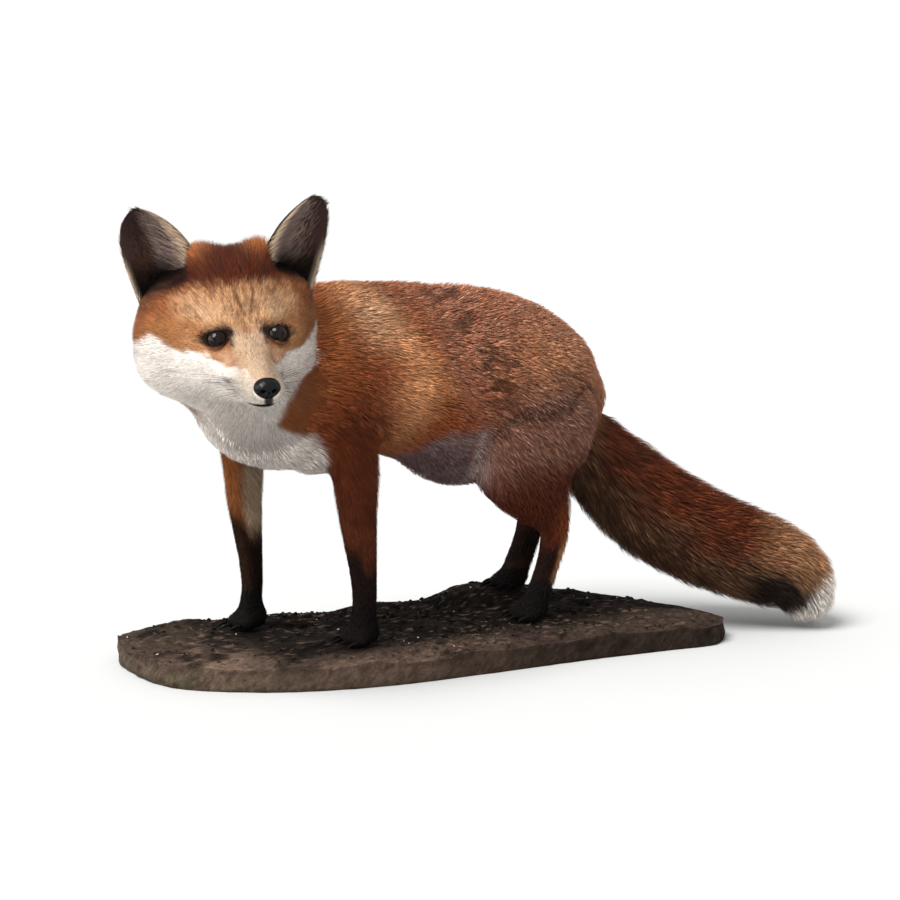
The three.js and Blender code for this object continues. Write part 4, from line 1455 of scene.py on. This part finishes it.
def make_eye(name, side):
    """A glass eye: a ball whose front bulges into a cornea by 1.1 exp(-(r / 5.5)^2), with the
    iris and a slit pupil painted on, round the axis along which the eye looks."""
    directions, faces = ball_grid(50, 64)
    ahead = directions[:, 2] > 0
    off = np.hypot(directions[:, 0], directions[:, 1]) * EYE_RADIUS
    points = directions * (EYE_RADIUS - 0.1 + 1.1 * bell(off, 5.5) * ahead)[:, None]
    angle = np.arctan2(directions[:, 1], directions[:, 0])
    fibres = 0.5 + 0.5 * np.cos(angle * 41 + 3 * np.sin(angle * 7))
    iris = painted("iris", ("eye_ring", 0.5 * fibres + 0.5 * ramp(off, 5, 7)))
    colour = np.where(((off < 7.2) & ahead)[:, None], iris, hue("eye_ring"))
    slit = np.hypot(points[:, 0] / 2.6, points[:, 1] / 4.6)
    colour = painted(colour, (hue("black") * 0.1, (1 - ramp(slit, 0.85, 1.05)) * ahead))
    points = from_head(points @ eye_frame(side) + EYE_AT * np.array([side, 1, 1]))
    material = bpy.data.materials["moulded_glass"]
    piece = mesh_object("glass_eye_" + name, points, outward(points, faces), material, True, colour)
    settled(piece, "eye_glass", "eye_" + name)


def make_nose():
    """The nose pad: a ball of 12.4 by 9.6 by 10 in half sizes, squared off by powers of 0.86 and
    narrowed below, with two comma-shaped nostrils 4.6 deep, a groove between them, a swell above
    them, and pebbles 0.1 high."""
    directions, faces = ball_grid(64, 92)
    directions = directions[:, [0, 2, 1]] * [1, -1, 1]
    points = np.sign(directions) * np.abs(directions) ** 0.86 * [12.4, 9.6, 10.0]
    points[:, 0] *= 1 - 0.3 * ramp(-points[:, 2], -1, 9)
    points[:, 1] += 2.2 * ramp(-points[:, 2], 0, 9)
    a, v = np.abs(points[:, 0]), points[:, 2]
    front = ramp(-points[:, 1], 0, 4)
    hole = bell(a - 5.0, 2.3) * bell(v - 0.4 - 0.1 * a, 1.9)
    wing = bell(a - 8.4, 2.6) * bell(v + 1.6 - 0.25 * (a - 8), 1.1)
    groove = bell(a, 0.7) * ramp(3 - v, 0, 3)
    dent = front * (4.6 * hole + 2.6 * wing + 1.2 * groove)
    points[:, 1] += dent - front * 0.8 * bell(a - 5.5, 4) * bell(v - 4.6, 2.4)
    pebble = noise(points, 0.9, 17) + 0.5 * noise(points, 0.5, 18)
    points = points + directions * (0.1 * pebble)[:, None]
    # Painted shade: the nostrils and the folds of their wings are darker.
    colour = painted("nose", (hue("black") * 0.3, np.clip(hole + wing, 0, 1) * front))
    points = from_head(points @ turned(0, 8).T + NOSE_AT)
    material = bpy.data.materials["painted_nose_leather"]
    piece = mesh_object("nose_pad", points, outward(points, faces), material, True, colour)
    settled(piece, "nose_leather", "nose")


def make_claws():
    """Sixteen claws, 12.5 long, 3.1 wide and 4 high at the root. Along each by share t the middle
    runs forwards and down by a turn of 1.15 radians, and the oval section narrows as
    1 - 0.93 t^1.6."""
    turn_down = 1.15
    t = np.linspace(0, 0.985, 12)[:, None]
    q = np.linspace(0, 2 * np.pi, 10, endpoint=False)[None]
    along = -12.5 * np.sin(t * turn_down) / np.sin(turn_down)
    drop = 4.6 * (1 - np.cos(t * turn_down)) / (1 - np.cos(turn_down))
    size = 1 - t**1.6 * 0.93
    x = 1.55 * size * np.cos(q)
    z = 8.6 - drop + 2.0 * size * np.sin(q)
    shape = stacked(x, along + 0.2 * np.sin(q) * size, z).reshape(-1, 3)
    rows, columns = x.shape
    fan = np.arange(1, columns - 1)
    root = stacked(0, fan + 1, fan)
    tip = stacked(0, fan, fan + 1) + (rows - 1) * columns
    faces = np.concatenate([triangles_of(grid_faces(rows, columns, around=True)), root, tip])
    faces = outward(shape, faces)
    points = []
    for ground_x, ground_y, rise, turn in FEET.values():
        for toe in (-1.5, -0.5, 0.5, 1.5):
            reach = -26 if abs(toe) < 1 else -20
            one = shape @ turned(2, -toe * 5).T + [toe * 11, reach, 0]
            points.append(one @ turned(2, turn).T + [ground_x, ground_y, EARTH_TOP + rise])
    faces = faces[None] + (np.arange(len(points)) * len(shape))[:, None, None]
    nodes = ["claw_%s_%d" % (foot, k) for foot in FEET for k in (1, 2, 3, 4)]
    material = bpy.data.materials["dark_horn"]
    piece = mesh_object("horn_claws", np.concatenate(points), faces.reshape(-1, 3), material)
    settled(piece, "claw_horn", *nodes)


def make_whiskers():
    """Whiskers in four rows on each side of the muzzle: fine tapered three-sided hairs, each
    along root + out L t + back 0.3 L t^2 - down 0.28 L t^2."""
    rng = np.random.default_rng(5)
    place, way, length, width = [], [], [], []
    for row, (height, start, count) in enumerate(WHISKER_ROWS):
        y = start + np.arange(count) * 6.5
        for _, side in SIDES:
            x = side * np.interp(y, [-110, -96, -79], [15.5, 19, 23]) + np.interp(y, *MIDLINE)
            place.append(stacked(x, y, height + rng.normal(0, 0.5, count)))
            back = 0.35 + 0.1 * np.arange(count)
            up = 0.25 - 0.16 * row + rng.normal(0, 0.1, count)
            way.append(stacked(side, back, up))
            length.append(rng.uniform(30, 52, count) * (1 - 0.1 * row))
            width.append(rng.uniform(0.42, 0.6, count))
    place, way, length, width = (np.concatenate(part) for part in (place, way, length, width))
    way = unit(way)
    up = unit(np.array([0, 0, 1.0]) - way * way[:, 2:])
    shift = np.array([0, 0.3, -0.28]) * length[:, None]
    up, way, shift = up @ HEAD_TURN.T, way @ HEAD_TURN.T, shift @ HEAD_TURN.T
    flat = np.zeros(len(place))
    shares = (0, 0.25, 0.5, 0.75, 1)
    hairs = tuft_mesh(from_head(place), up, way, length, width, flat, flat, shift, shares)
    settled(mesh_object("whiskers", *hairs, bpy.data.materials["whisker"]), "coat_ear")


# ---- the slab of earth ----


def closed_curve(corners, count):
    """Points on the closed Catmull-Rom curve through the corners:
    (2b + (c - a) t + (2a - 5b + 4c - d) t^2 + (3b - a - 3c + d) t^3) / 2."""
    corners = np.array(corners, float)
    place = np.arange(count * 8) / (count * 8) * len(corners)
    k = place.astype(int)
    t = (place - k)[:, None]
    a, b, c, d = (corners[(k + step) % len(corners)] for step in (-1, 0, 1, 2))
    curve = (2 * b + (c - a) * t + (2 * a - 5 * b + 4 * c - d) * t**2 + (3 * b - a - 3 * c + d) * t**3) / 2
    gone = np.concatenate([[0], np.cumsum(np.linalg.norm(np.roll(curve, -1, axis=0) - curve, axis=1))])
    aim = np.arange(count) / count * gone[-1]
    looped = np.concatenate([curve, curve[:1]])
    return np.stack([np.interp(aim, gone, looped[:, axis]) for axis in range(2)], axis=1)


def ground_height(x, y, share):
    """The ground: gentle ripples, a mound under the right hind foot, and a fall to the rim."""
    ripple = np.sin(x * 0.061 + 1.3) * np.cos(y * 0.047) + 0.6 * np.sin(x * 0.11 - y * 0.083)
    away = np.hypot(x + 62, (y - 116) * 0.8) / 52
    return EARTH_TOP + 1.6 * ripple + 13 * np.exp(-(away**4)) - (7 + 4 * ramp(y, 200, 290)) * share**9


def crumbly(flat, share):
    """The height of crumbs, clods and pits on the ground at places seen from above."""
    place = stacked(*flat.T, 0.0)
    clods = layered(place, 26, 4, 201)
    grains = layered(place, 7, 3, 211)
    pits = ramp(noise(place, 8, 221) + 0.5 * noise(place, 4, 222), 0.35, 0.9)
    return (2.6 * clods + 1.5 * np.maximum(grains, -0.3) - 2.4 * pits) * (1 - 0.35 * share**8)


def trodden(x, y, height):
    """Presses the ground flat under each foot and heaps a little at its edge."""
    for ground_x, ground_y, rise, _ in FEET.values():
        away = np.hypot((x - ground_x) / 24, (y - ground_y + 8) / 32)
        press = 1 - ramp(away, 0.75, 1.1)
        height = height + (EARTH_TOP + rise + 0.6 - height) * press
        height = height + 1.6 * bell(away - 1.2, 0.2)
    return height


def ground(flat, share):
    """The ground's height at places seen from above, with its crumbs and the pressed footprints."""
    x, y = flat.T
    return trodden(x, y, ground_height(x, y, share) + crumbly(flat, share))


def soil_colours(points, normals):
    """Dark brown earth, pinker in front, near black in the pits, and near black towards the far side
    and round the feet as painted shade and shadow, a moss tint on the lower rim, paler streaks, and
    upward faces, the crumbs' tops too, painted lighter as lit from above."""
    x, y, z = points.T
    rough = layered(points, 16, 3, 301)
    fine = noise(points, 2.4, 311)
    near = np.maximum(ramp(x + 22 * rough, 52, 96), ramp(-y + 45 * rough, 175, 245))
    # Painted shadow round the feet, laid on below.
    feet = sum(spot(points, (at_x, at_y - 8, 34), (44, 52, 60)) for at_x, at_y, _, _ in FEET.values())
    moss = ramp(-(y + 190) + 50 * rough, 0, 60) * (1 - ramp(z, 12, 22)) * ramp(rough, -0.3, 0.5)
    streaks = ramp(noise(points * [1, 0.35, 1], 2.6, 321), 0.35, 0.8) * ramp(z, 24, 28)
    colour = painted(
        "earth",
        ("clay", near * np.interp(y, [-150, 60], [0.75, 0.2])),
        # Painted shade towards the far side.
        ("peat", ramp(-x - 0.2 * y + 40 * rough, 10, 90) * 0.7),
        ("peat", 0.85 * ramp(rough + 0.35 * fine, 0.1, 0.5)),
        ("peat", 0.8 * np.clip(feet * (0.6 + 1.6 * rough), 0, 1)),
        ("clay", 0.55 * (1 - ramp(z, 16, 26)) * np.interp(y, [-150, 100], [1, 0.1])),
        ("moss", 0.4 * moss),
        (hue("clay") * 1.25, 0.5 * streaks),
    )
    # Painted light: faces turned upwards are lighter.
    lit = 0.8 + 0.35 * ramp(normals[:, 2], 0.2, 0.95)
    return colour * (1 + 0.6 * fine)[:, None] * lit[:, None]


def make_earth():
    """The slab: rings of the outline drawn in by shares towards the middle, raised to the ground's
    height and roughened, over a steep crumbly rim and a flat underside at nought."""
    around = RIM_POINTS
    outline = closed_curve(SLAB_OUTLINE, around)
    shares = np.sin(np.linspace(1, 0.004, TOP_RINGS) * RING_TURN) / np.sin(RING_TURN)
    rings = []
    for height, share in RIM_RINGS:
        flat = outline * share
        ragged = 1 + 0.012 * layered(stacked(*flat.T, height * 2.0), 14, 3, 231) * (height > 0)
        rings.append(stacked(*(flat * ragged[:, None]).T, height))
    for share in shares:
        flat = outline * share
        if share > 0.9:
            ragged = 0.012 * layered(stacked(*flat.T, 45.0), 14, 3, 231) * ramp(share, 0.9, 1.0)
            flat = flat * (1 + ragged)[:, None]
        rings.append(stacked(*flat.T, np.maximum(ground(flat, share), LOWEST_TOP)))
    points = np.concatenate(rings + [[[0, 0, rings[-1][:, 2].mean()]], [[0, 0, 0.0]]])
    last = len(rings) * around
    sides = triangles_of(grid_faces(len(rings), around, around=True))
    top, under = fan_faces(last - around, around, last), fan_faces(0, around, last + 1, reverse=True)
    faces = outward(points, np.concatenate([sides, top, under]))
    colours = soil_colours(points, point_normals(points, faces))
    material = bpy.data.materials["modelled_earth"]
    settled(mesh_object("earth_slab", points, faces, material, True, colours), "earth", "base")


def make_crumbs():
    """Loose crumbs, clods and a few white chips of lime: lumpy balls strewn over the ground."""
    rng = np.random.default_rng(41)
    directions, faces = ball_grid(5, 6)
    outline = closed_curve(SLAB_OUTLINE, 400)
    count = CRUMBS
    corner = outline[rng.integers(0, 400, count)]
    share = np.sqrt(rng.random(count)) * 0.985
    flat = corner * share[:, None]
    size = 0.5 + 1.9 * rng.random(count) ** 3 + 1.6 * (rng.random(count) > 0.97)
    height = ground(flat, share)
    chip = rng.random(count) < CHIPS
    size = np.where(chip, 0.5 + 0.7 * rng.random(count), size)
    lump = 1 + 0.35 * (rng.random((count, len(directions), 1)) - 0.5)
    stretch = rng.uniform(0.7, 1.3, (count, 1, 3)) * np.array([1, 1, 0.7])
    points = directions[None] * lump * stretch * size[:, None, None]
    points = (points + stacked(*flat.T, height + size * 0.25)[:, None]).reshape(-1, 3)
    faces = outward(directions, faces)[None] + (np.arange(count) * len(directions))[:, None, None]
    lit = np.repeat(rng.uniform(0.7, 1.7, count), len(directions))
    colours = soil_colours(points, np.repeat([[0, 0, 1.0]], len(points), axis=0)) * lit[:, None]
    colours[np.repeat(chip, len(directions))] = hue("chip")
    material = bpy.data.materials["modelled_earth"]
    piece = mesh_object("earth_crumbs", points, faces.reshape(-1, 3), material, True, colours)
    settled(piece, "earth")


# ---- finishes ----


def tint_nodes(tree, scale, amount, bump_height, bump_scale=None):
    """The points' own tint, varied by fine noise on object coordinates, with a bump of the same
    noise or of one with a scale of its own. Scales are waves per metre."""
    tint = node_of(tree, "VertexColor", {"layer_name": TINT})
    place = {"Vector": node_of(tree, "TexCoord").outputs["Object"]}
    grain = node_of(tree, "TexNoise", {"Scale": scale, "Detail": 4.0}, place).outputs["Fac"]
    level = node_of(tree, "MapRange", {"To Min": 1 - amount, "To Max": 1 + amount}, {"Value": grain})
    varied = node_of(tree, "VectorMath", {"operation": "SCALE"}, {"Scale": level.outputs["Result"]})
    tree.links.new(tint.outputs["Color"], varied.inputs[0])
    if bump_scale:
        grain = node_of(tree, "TexNoise", {"Scale": bump_scale, "Detail": 5.0}, place).outputs["Fac"]
    bump = node_of(tree, "Bump", {"Strength": 0.6, "Distance": bump_height}, {"Height": grain})
    return {"Base Color": varied.outputs["Vector"], "Normal": bump.outputs["Normal"]}


def tint_only(tree):
    """The points' own tint and nothing more: the finish is smooth."""
    return {"Base Color": node_of(tree, "VertexColor", {"layer_name": TINT}).outputs["Color"]}


def plain_grain(tree, colour, scale, bump_height):
    """One colour, darkened in patches, with a bump, both of the given scale in waves per metre."""
    place = {"Vector": node_of(tree, "TexCoord").outputs["Object"]}
    grain = node_of(tree, "TexNoise", {"Scale": scale, "Detail": 3.0}, place).outputs["Fac"]
    mixed = node_of(tree, "Mix", {"data_type": "RGBA"}, {"Factor": grain})
    for socket, strength in zip(MIX_COLOURS, (0.55, 1.3)):
        mixed.inputs[socket].default_value = (*(colour * strength), 1)
    bump = node_of(tree, "Bump", {"Strength": 0.5, "Distance": bump_height}, {"Height": grain})
    return {"Base Color": mixed.outputs[MIXED_COLOUR], "Normal": bump.outputs["Normal"]}


def make_finishes():
    """Every material of the fox, its slab and the studio."""

    def finish(name, roughness, specular, paint, **more):
        settings = {"Roughness": roughness, "Specular IOR Level": specular, **more}
        material_of(name, settings, paint)

    # Keratin hair of a tanned and combed pelt: satin, and its gloss is weak because hairs scatter
    # light. A hair is 0.06 mm thick. Its grain is drawn at 1.1 mm (900 a metre), coarse enough to show.
    finish("guard_hair", 0.6, 0.09, lambda tree: tint_nodes(tree, 900, 0.12, 0.0002))

    # Dense underfur on tanned skin, which shows between the tufts: quite dull. Its tint is painted
    # darker than the hair's, as shade in the depth of the coat. Its hairs are far finer than would
    # show, so their clumps are drawn 1.4 mm wide (700 a metre), with a relief every 1.1 mm (900 a metre).
    finish("tanned_skin_underfur", 0.85, 0.04, lambda tree: tint_nodes(tree, 700, 0.3, 0.0008, 900))

    # Glass eyes, moulded and painted from behind: dark and smooth, with one sharp clear highlight.
    glass = {"Coat Weight": 0.35, "Coat Roughness": 0.03}
    finish("moulded_glass", 0.5, 0.0, tint_only, **glass)

    # The nose pad's leather, pebbled, painted black and waxed: a soft sheen broken by its grain of
    # 0.7 mm (1400 a metre).
    wax = {"Coat Weight": 0.3, "Coat Roughness": 0.25}
    finish("painted_nose_leather", 0.6, 0.0, lambda tree: tint_nodes(tree, 1400, 0.15, 0.0001), **wax)

    # Claws of natural dark horn, worn by the ground: near black with a faint dull polish. The worn
    # patches are 2 mm long (500 a metre).
    polish = {"Coat Weight": 0.1, "Coat Roughness": 0.3}
    finish("dark_horn", 0.6, 0.0, lambda tree: plain_grain(tree, hue("horn"), 500, 0.0001), **polish)

    # Whiskers, stiff natural bristles of keratin: black and smoother than the fur. Their grain is
    # too fine to show, so a faint variation is drawn every 3.3 mm (300 a metre).
    finish("whisker", 0.45, 0.5, lambda tree: plain_grain(tree, hue("black"), 300, 0.00005))

    # Earth of real soil and glue, modelled by hand on a board: quite dull and loose-grained. Colour
    # varies every 1.9 mm (520 a metre), and the crumbs of the relief are 1.5 mm (650 a metre).
    finish("modelled_earth", 0.95, 0.05, lambda tree: tint_nodes(tree, 520, 0.6, 0.002, 650))

    # Matt background paper. Its middle grey comes out near white in this light.
    paper = {"Base Color": (*linear("#adadac"), 1)}
    finish("studio_paper", 0.9, 0.1, lambda tree: {}, **paper)


def make_stage():
    """A wide pale floor, a pale world, two broad soft lights from far off, and the camera."""
    settings = bpy.context.scene.fox_stage
    half = settings.floor_size / 2
    points = np.array([(-half, -half, 0), (half, -half, 0), (half, half, 0), (-half, half, 0)]) / MM
    points[:, 2] -= 0.05
    paper = bpy.data.materials["studio_paper"]
    mesh_object("studio_floor", points, np.array([[0, 1, 2, 3]]), paper)
    world = bpy.data.worlds.new("studio_air")
    world.use_nodes = True
    air = world.node_tree.nodes["Background"].inputs
    air["Color"].default_value = (1, 1, 1, 1)
    air["Strength"].default_value = settings.air
    bpy.context.scene.world = world
    bpy.context.scene.view_settings.view_transform = "Standard"
    for name, way, angle, power in (
        ("key_daylight", (0.12, -0.5, 0.86), 35, settings.key),
        ("front_daylight", (-0.3, -0.95, 0.02), 70, settings.front),
    ):
        lamp = bpy.data.lights.new(name, "SUN")
        lamp.energy = power
        lamp.angle = np.radians(angle)
        made = bpy.data.objects.new(name, lamp)
        made.rotation_euler = Vector(way).to_track_quat("Z", "Y").to_euler()
        bpy.context.scene.collection.objects.link(made)
    lens = bpy.data.cameras.new("camera")
    lens.sensor_width = 36
    lens.lens = settings.lens
    lens.clip_end = 80
    camera = bpy.data.objects.new("camera", lens)
    turn, fall = np.radians(settings.azimuth), np.radians(settings.pitch)
    look = (-np.sin(turn) * np.cos(fall), np.cos(turn) * np.cos(fall), -np.sin(fall))
    x, y = CAMERA_AIM
    away = CAMERA_DISTANCE
    camera.location = (x + away * np.sin(turn), y - away * np.cos(turn), settings.height)
    camera.rotation_euler = Vector(look).to_track_quat("-Z", "Y").to_euler()
    bpy.context.scene.collection.objects.link(camera)
    bpy.context.scene.camera = camera


# ---- settings, operators and panel ----


def colour_setting(name, description, code):
    """A colour that a user may change, from its sRGB hex code."""
    return bpy.props.FloatVectorProperty(
        name=name, description=description, subtype="COLOR", size=3, min=0, max=1,
        default=tuple(float(part) for part in linear(code)),
    )  # fmt: skip


def setting(name, description, default, **more):
    """A number that a user may change."""
    return bpy.props.FloatProperty(name=name, description=description, default=default, **more)


class FoxCoatSettings(bpy.types.PropertyGroup):
    """The coat's colours and how full it is, and the colours of eyes, nose, claws and earth."""

    fullness: setting("Fullness", "Share of the tufts laid", 1.0, min=0.05, max=1.0, subtype="FACTOR")
    voxel: setting("Skin grain", "Size of the skin's facets", 0.0033, min=0.002, max=0.01, unit="LENGTH")
    rust: colour_setting("Rust", "Shoulders, neck and forelegs", "#984e2a")
    orange: colour_setting("Orange", "Ear bases and lighter strands", "#c07844")
    golden: colour_setting("Golden", "Band behind the shoulder", "#e6a674")
    # Deep red also paints shade on the lower trunk and over the forelegs.
    deep: colour_setting("Deep red", "Darker strands of the rust fur", "#64301c")
    saddle: colour_setting("Saddle", "Grizzled back", "#ad7054")
    pale: colour_setting("Pale", "Light hair tips of the back", "#d9ae92")
    rump: colour_setting("Rump", "Greyer rump and thigh", "#a37658")
    # The lower thigh's dark colour is partly painted shade.
    thigh: colour_setting("Thigh", "Lower thigh", "#5c2c1c")
    thigh_grey: colour_setting("Greyer thigh", "Upper thigh and buttock", "#815648")
    # Dark also paints shade in the partings between locks and in the crease before each thigh.
    dark: colour_setting("Dark", "Dark locks", "#33201a")
    # Black also paints shade deep in the ears' cups and openings, and in the nostrils.
    black: colour_setting("Black", "Stockings, ears, lips and lids", "#14100f")
    white: colour_setting("White", "Cheeks and throat", "#f9f0e7")
    lilac: colour_setting("Lilac grey", "Shaded bib and belly", "#a8948f")
    # The slate belly is partly its own grey and partly painted shade.
    slate: colour_setting("Slate", "Darker belly", "#6e5656")
    # Crown also paints shade in the eye sockets.
    crown: colour_setting("Crown", "Red-brown crown", "#541f0b")
    brow: colour_setting("Brow", "Speckled forehead", "#bc9068")
    cheek: colour_setting("Eye patch", "Orange-brown around the eyes", "#a06c42")
    # Bridge also tints the upward faces of the white cheeks, as painted shade.
    bridge: colour_setting("Bridge", "Top of the muzzle", "#c8ae92")
    tan: colour_setting("Tan", "End of the brush and backs of the hocks", "#c4936a")
    brush: colour_setting("Brush", "Top of the brush", "#64301a")
    olive: colour_setting("Olive", "Underside of the brush", "#543a2a")
    cream: colour_setting("Cream", "Rims of the ears", "#d8c0a4")
    ear_hair: colour_setting("Ear hair", "Long hair inside the ears", "#957f77")
    ear_skin: colour_setting("Ear skin", "Inside of the ears", "#443330")
    iris: colour_setting("Iris", "Glass eye's iris", "#1a0d07")
    eye_ring: colour_setting("Eye ring", "Glass eye outside the iris", "#0a0504")
    nose: colour_setting("Nose", "Nose pad", "#0b0a0b")
    horn: colour_setting("Horn", "Claws", "#100d0c")
    earth: colour_setting("Earth", "Middle of the slab", "#15100d")
    clay: colour_setting("Clay", "Pinkish earth in front", "#5c4b40")
    # Peat also paints shade on the far side of the slab and shadow round the feet.
    peat: colour_setting("Peat", "Near-black earth", "#070504")
    moss: colour_setting("Moss", "Green tint of the lower rim", "#414a34")
    chip: colour_setting("Chip", "White chips of lime", "#cfc9c2")


class FoxStageSettings(bpy.types.PropertyGroup):
    """The studio around the mount."""

    floor_size: setting("Floor", "Side of the floor", 40.0, unit="LENGTH")
    air: setting("Air", "Strength of the light from all round", 1.0, min=0)
    key: setting("Key", "Strength of the main light", 5.0, min=0)
    front: setting("Front", "Strength of the low light on the chest", 3.4, min=0)
    lens: setting("Lens", "Focal length in millimetres", 96.0, min=10)
    azimuth: setting("Azimuth", "Degrees round from the front", 58.0)
    pitch: setting("Pitch", "Degrees that the camera looks down", 9.3)
    height: setting("Height", "Height of the camera", 0.607, unit="LENGTH")


# What the skin's operator leaves for the coat's.
BUILT = {}


class FOX_OT_finishes(bpy.types.Operator):
    """Makes the materials"""

    bl_idname = "fox.finishes"
    bl_label = "Make finishes"

    def execute(self, context):
        make_finishes()
        return {"FINISHED"}


class FOX_OT_skin(bpy.types.Operator):
    """Makes the one skin under the coat, with its face and ears"""

    bl_idname = "fox.skin"
    bl_label = "Make skin"

    def execute(self, context):
        skin = make_skin()
        # The skin takes the coat's markings, painted darker as shade under the tufts.
        tints = coat_colours(skin["points"], skin["normals"], by_kind(skin["share"])) * UNDERFUR_SHADE
        material = bpy.data.materials["tanned_skin_underfur"]
        piece = mesh_object("fox_skin", skin["points"], skin["faces"], material, True, tints)
        settled(piece, "coat_back", *FLESH, "ear_left", "ear_right")
        BUILT["skin"] = skin
        return {"FINISHED"}


class FOX_OT_coat(bpy.types.Operator):
    """Lays the coat's tufts over the skin"""

    bl_idname = "fox.coat"
    bl_label = "Lay coat"

    def execute(self, context):
        lay_whole_coat(BUILT["skin"], context.scene.fox_coat.fullness)
        lay_ear_hair()
        return {"FINISHED"}


class FOX_OT_eyes(bpy.types.Operator):
    """Makes the two glass eyes"""

    bl_idname = "fox.eyes"
    bl_label = "Make eyes"

    def execute(self, context):
        for name, side in SIDES:
            make_eye(name, side)
        return {"FINISHED"}


class FOX_OT_nose(bpy.types.Operator):
    """Makes the nose pad"""

    bl_idname = "fox.nose"
    bl_label = "Make nose"

    def execute(self, context):
        make_nose()
        return {"FINISHED"}


class FOX_OT_claws(bpy.types.Operator):
    """Makes the claws"""

    bl_idname = "fox.claws"
    bl_label = "Make claws"

    def execute(self, context):
        make_claws()
        return {"FINISHED"}


class FOX_OT_whiskers(bpy.types.Operator):
    """Makes the whiskers"""

    bl_idname = "fox.whiskers"
    bl_label = "Make whiskers"

    def execute(self, context):
        make_whiskers()
        return {"FINISHED"}


class FOX_OT_earth(bpy.types.Operator):
    """Makes the slab of earth and its crumbs"""

    bl_idname = "fox.earth"
    bl_label = "Make earth"

    def execute(self, context):
        make_earth()
        make_crumbs()
        return {"FINISHED"}


class FOX_OT_stage(bpy.types.Operator):
    """Makes the floor, the lights and the camera"""

    bl_idname = "fox.stage"
    bl_label = "Make stage"

    def execute(self, context):
        make_stage()
        return {"FINISHED"}


OPERATORS = (
    FOX_OT_finishes, FOX_OT_stage, FOX_OT_skin, FOX_OT_coat, FOX_OT_eyes, FOX_OT_nose,
    FOX_OT_claws, FOX_OT_whiskers, FOX_OT_earth,
)  # fmt: skip


class FOX_PT_panel(bpy.types.Panel):
    """Lists the steps of the mount and its settings"""

    bl_idname = "FOX_PT_panel"
    bl_label = "Mounted red fox"
    bl_space_type = "VIEW_3D"
    bl_region_type = "UI"
    bl_category = "Fox"

    def draw(self, context):
        column = self.layout.column()
        for operator in OPERATORS:
            column.operator(operator.bl_idname)
        for group in (context.scene.fox_coat, context.scene.fox_stage):
            for name in group.__annotations__:
                column.prop(group, name)


CLASSES = (FoxCoatSettings, FoxStageSettings, *OPERATORS, FOX_PT_panel)


def register():
    """Adds the settings, the steps and the panel."""
    for one in CLASSES:
        bpy.utils.register_class(one)
    bpy.types.Scene.fox_coat = bpy.props.PointerProperty(type=FoxCoatSettings)
    bpy.types.Scene.fox_stage = bpy.props.PointerProperty(type=FoxStageSettings)


def unregister():
    """Takes them away again."""
    del bpy.types.Scene.fox_stage
    del bpy.types.Scene.fox_coat
    for one in reversed(CLASSES):
        bpy.utils.unregister_class(one)


def main():
    """Runs every step in order."""
    register()
    bpy.ops.fox.finishes()
    bpy.ops.fox.stage()
    bpy.ops.fox.skin()
    bpy.ops.fox.coat()
    bpy.ops.fox.eyes()
    bpy.ops.fox.nose()
    bpy.ops.fox.claws()
    bpy.ops.fox.whiskers()
    bpy.ops.fox.earth()


if __name__ == "__main__":
    main()
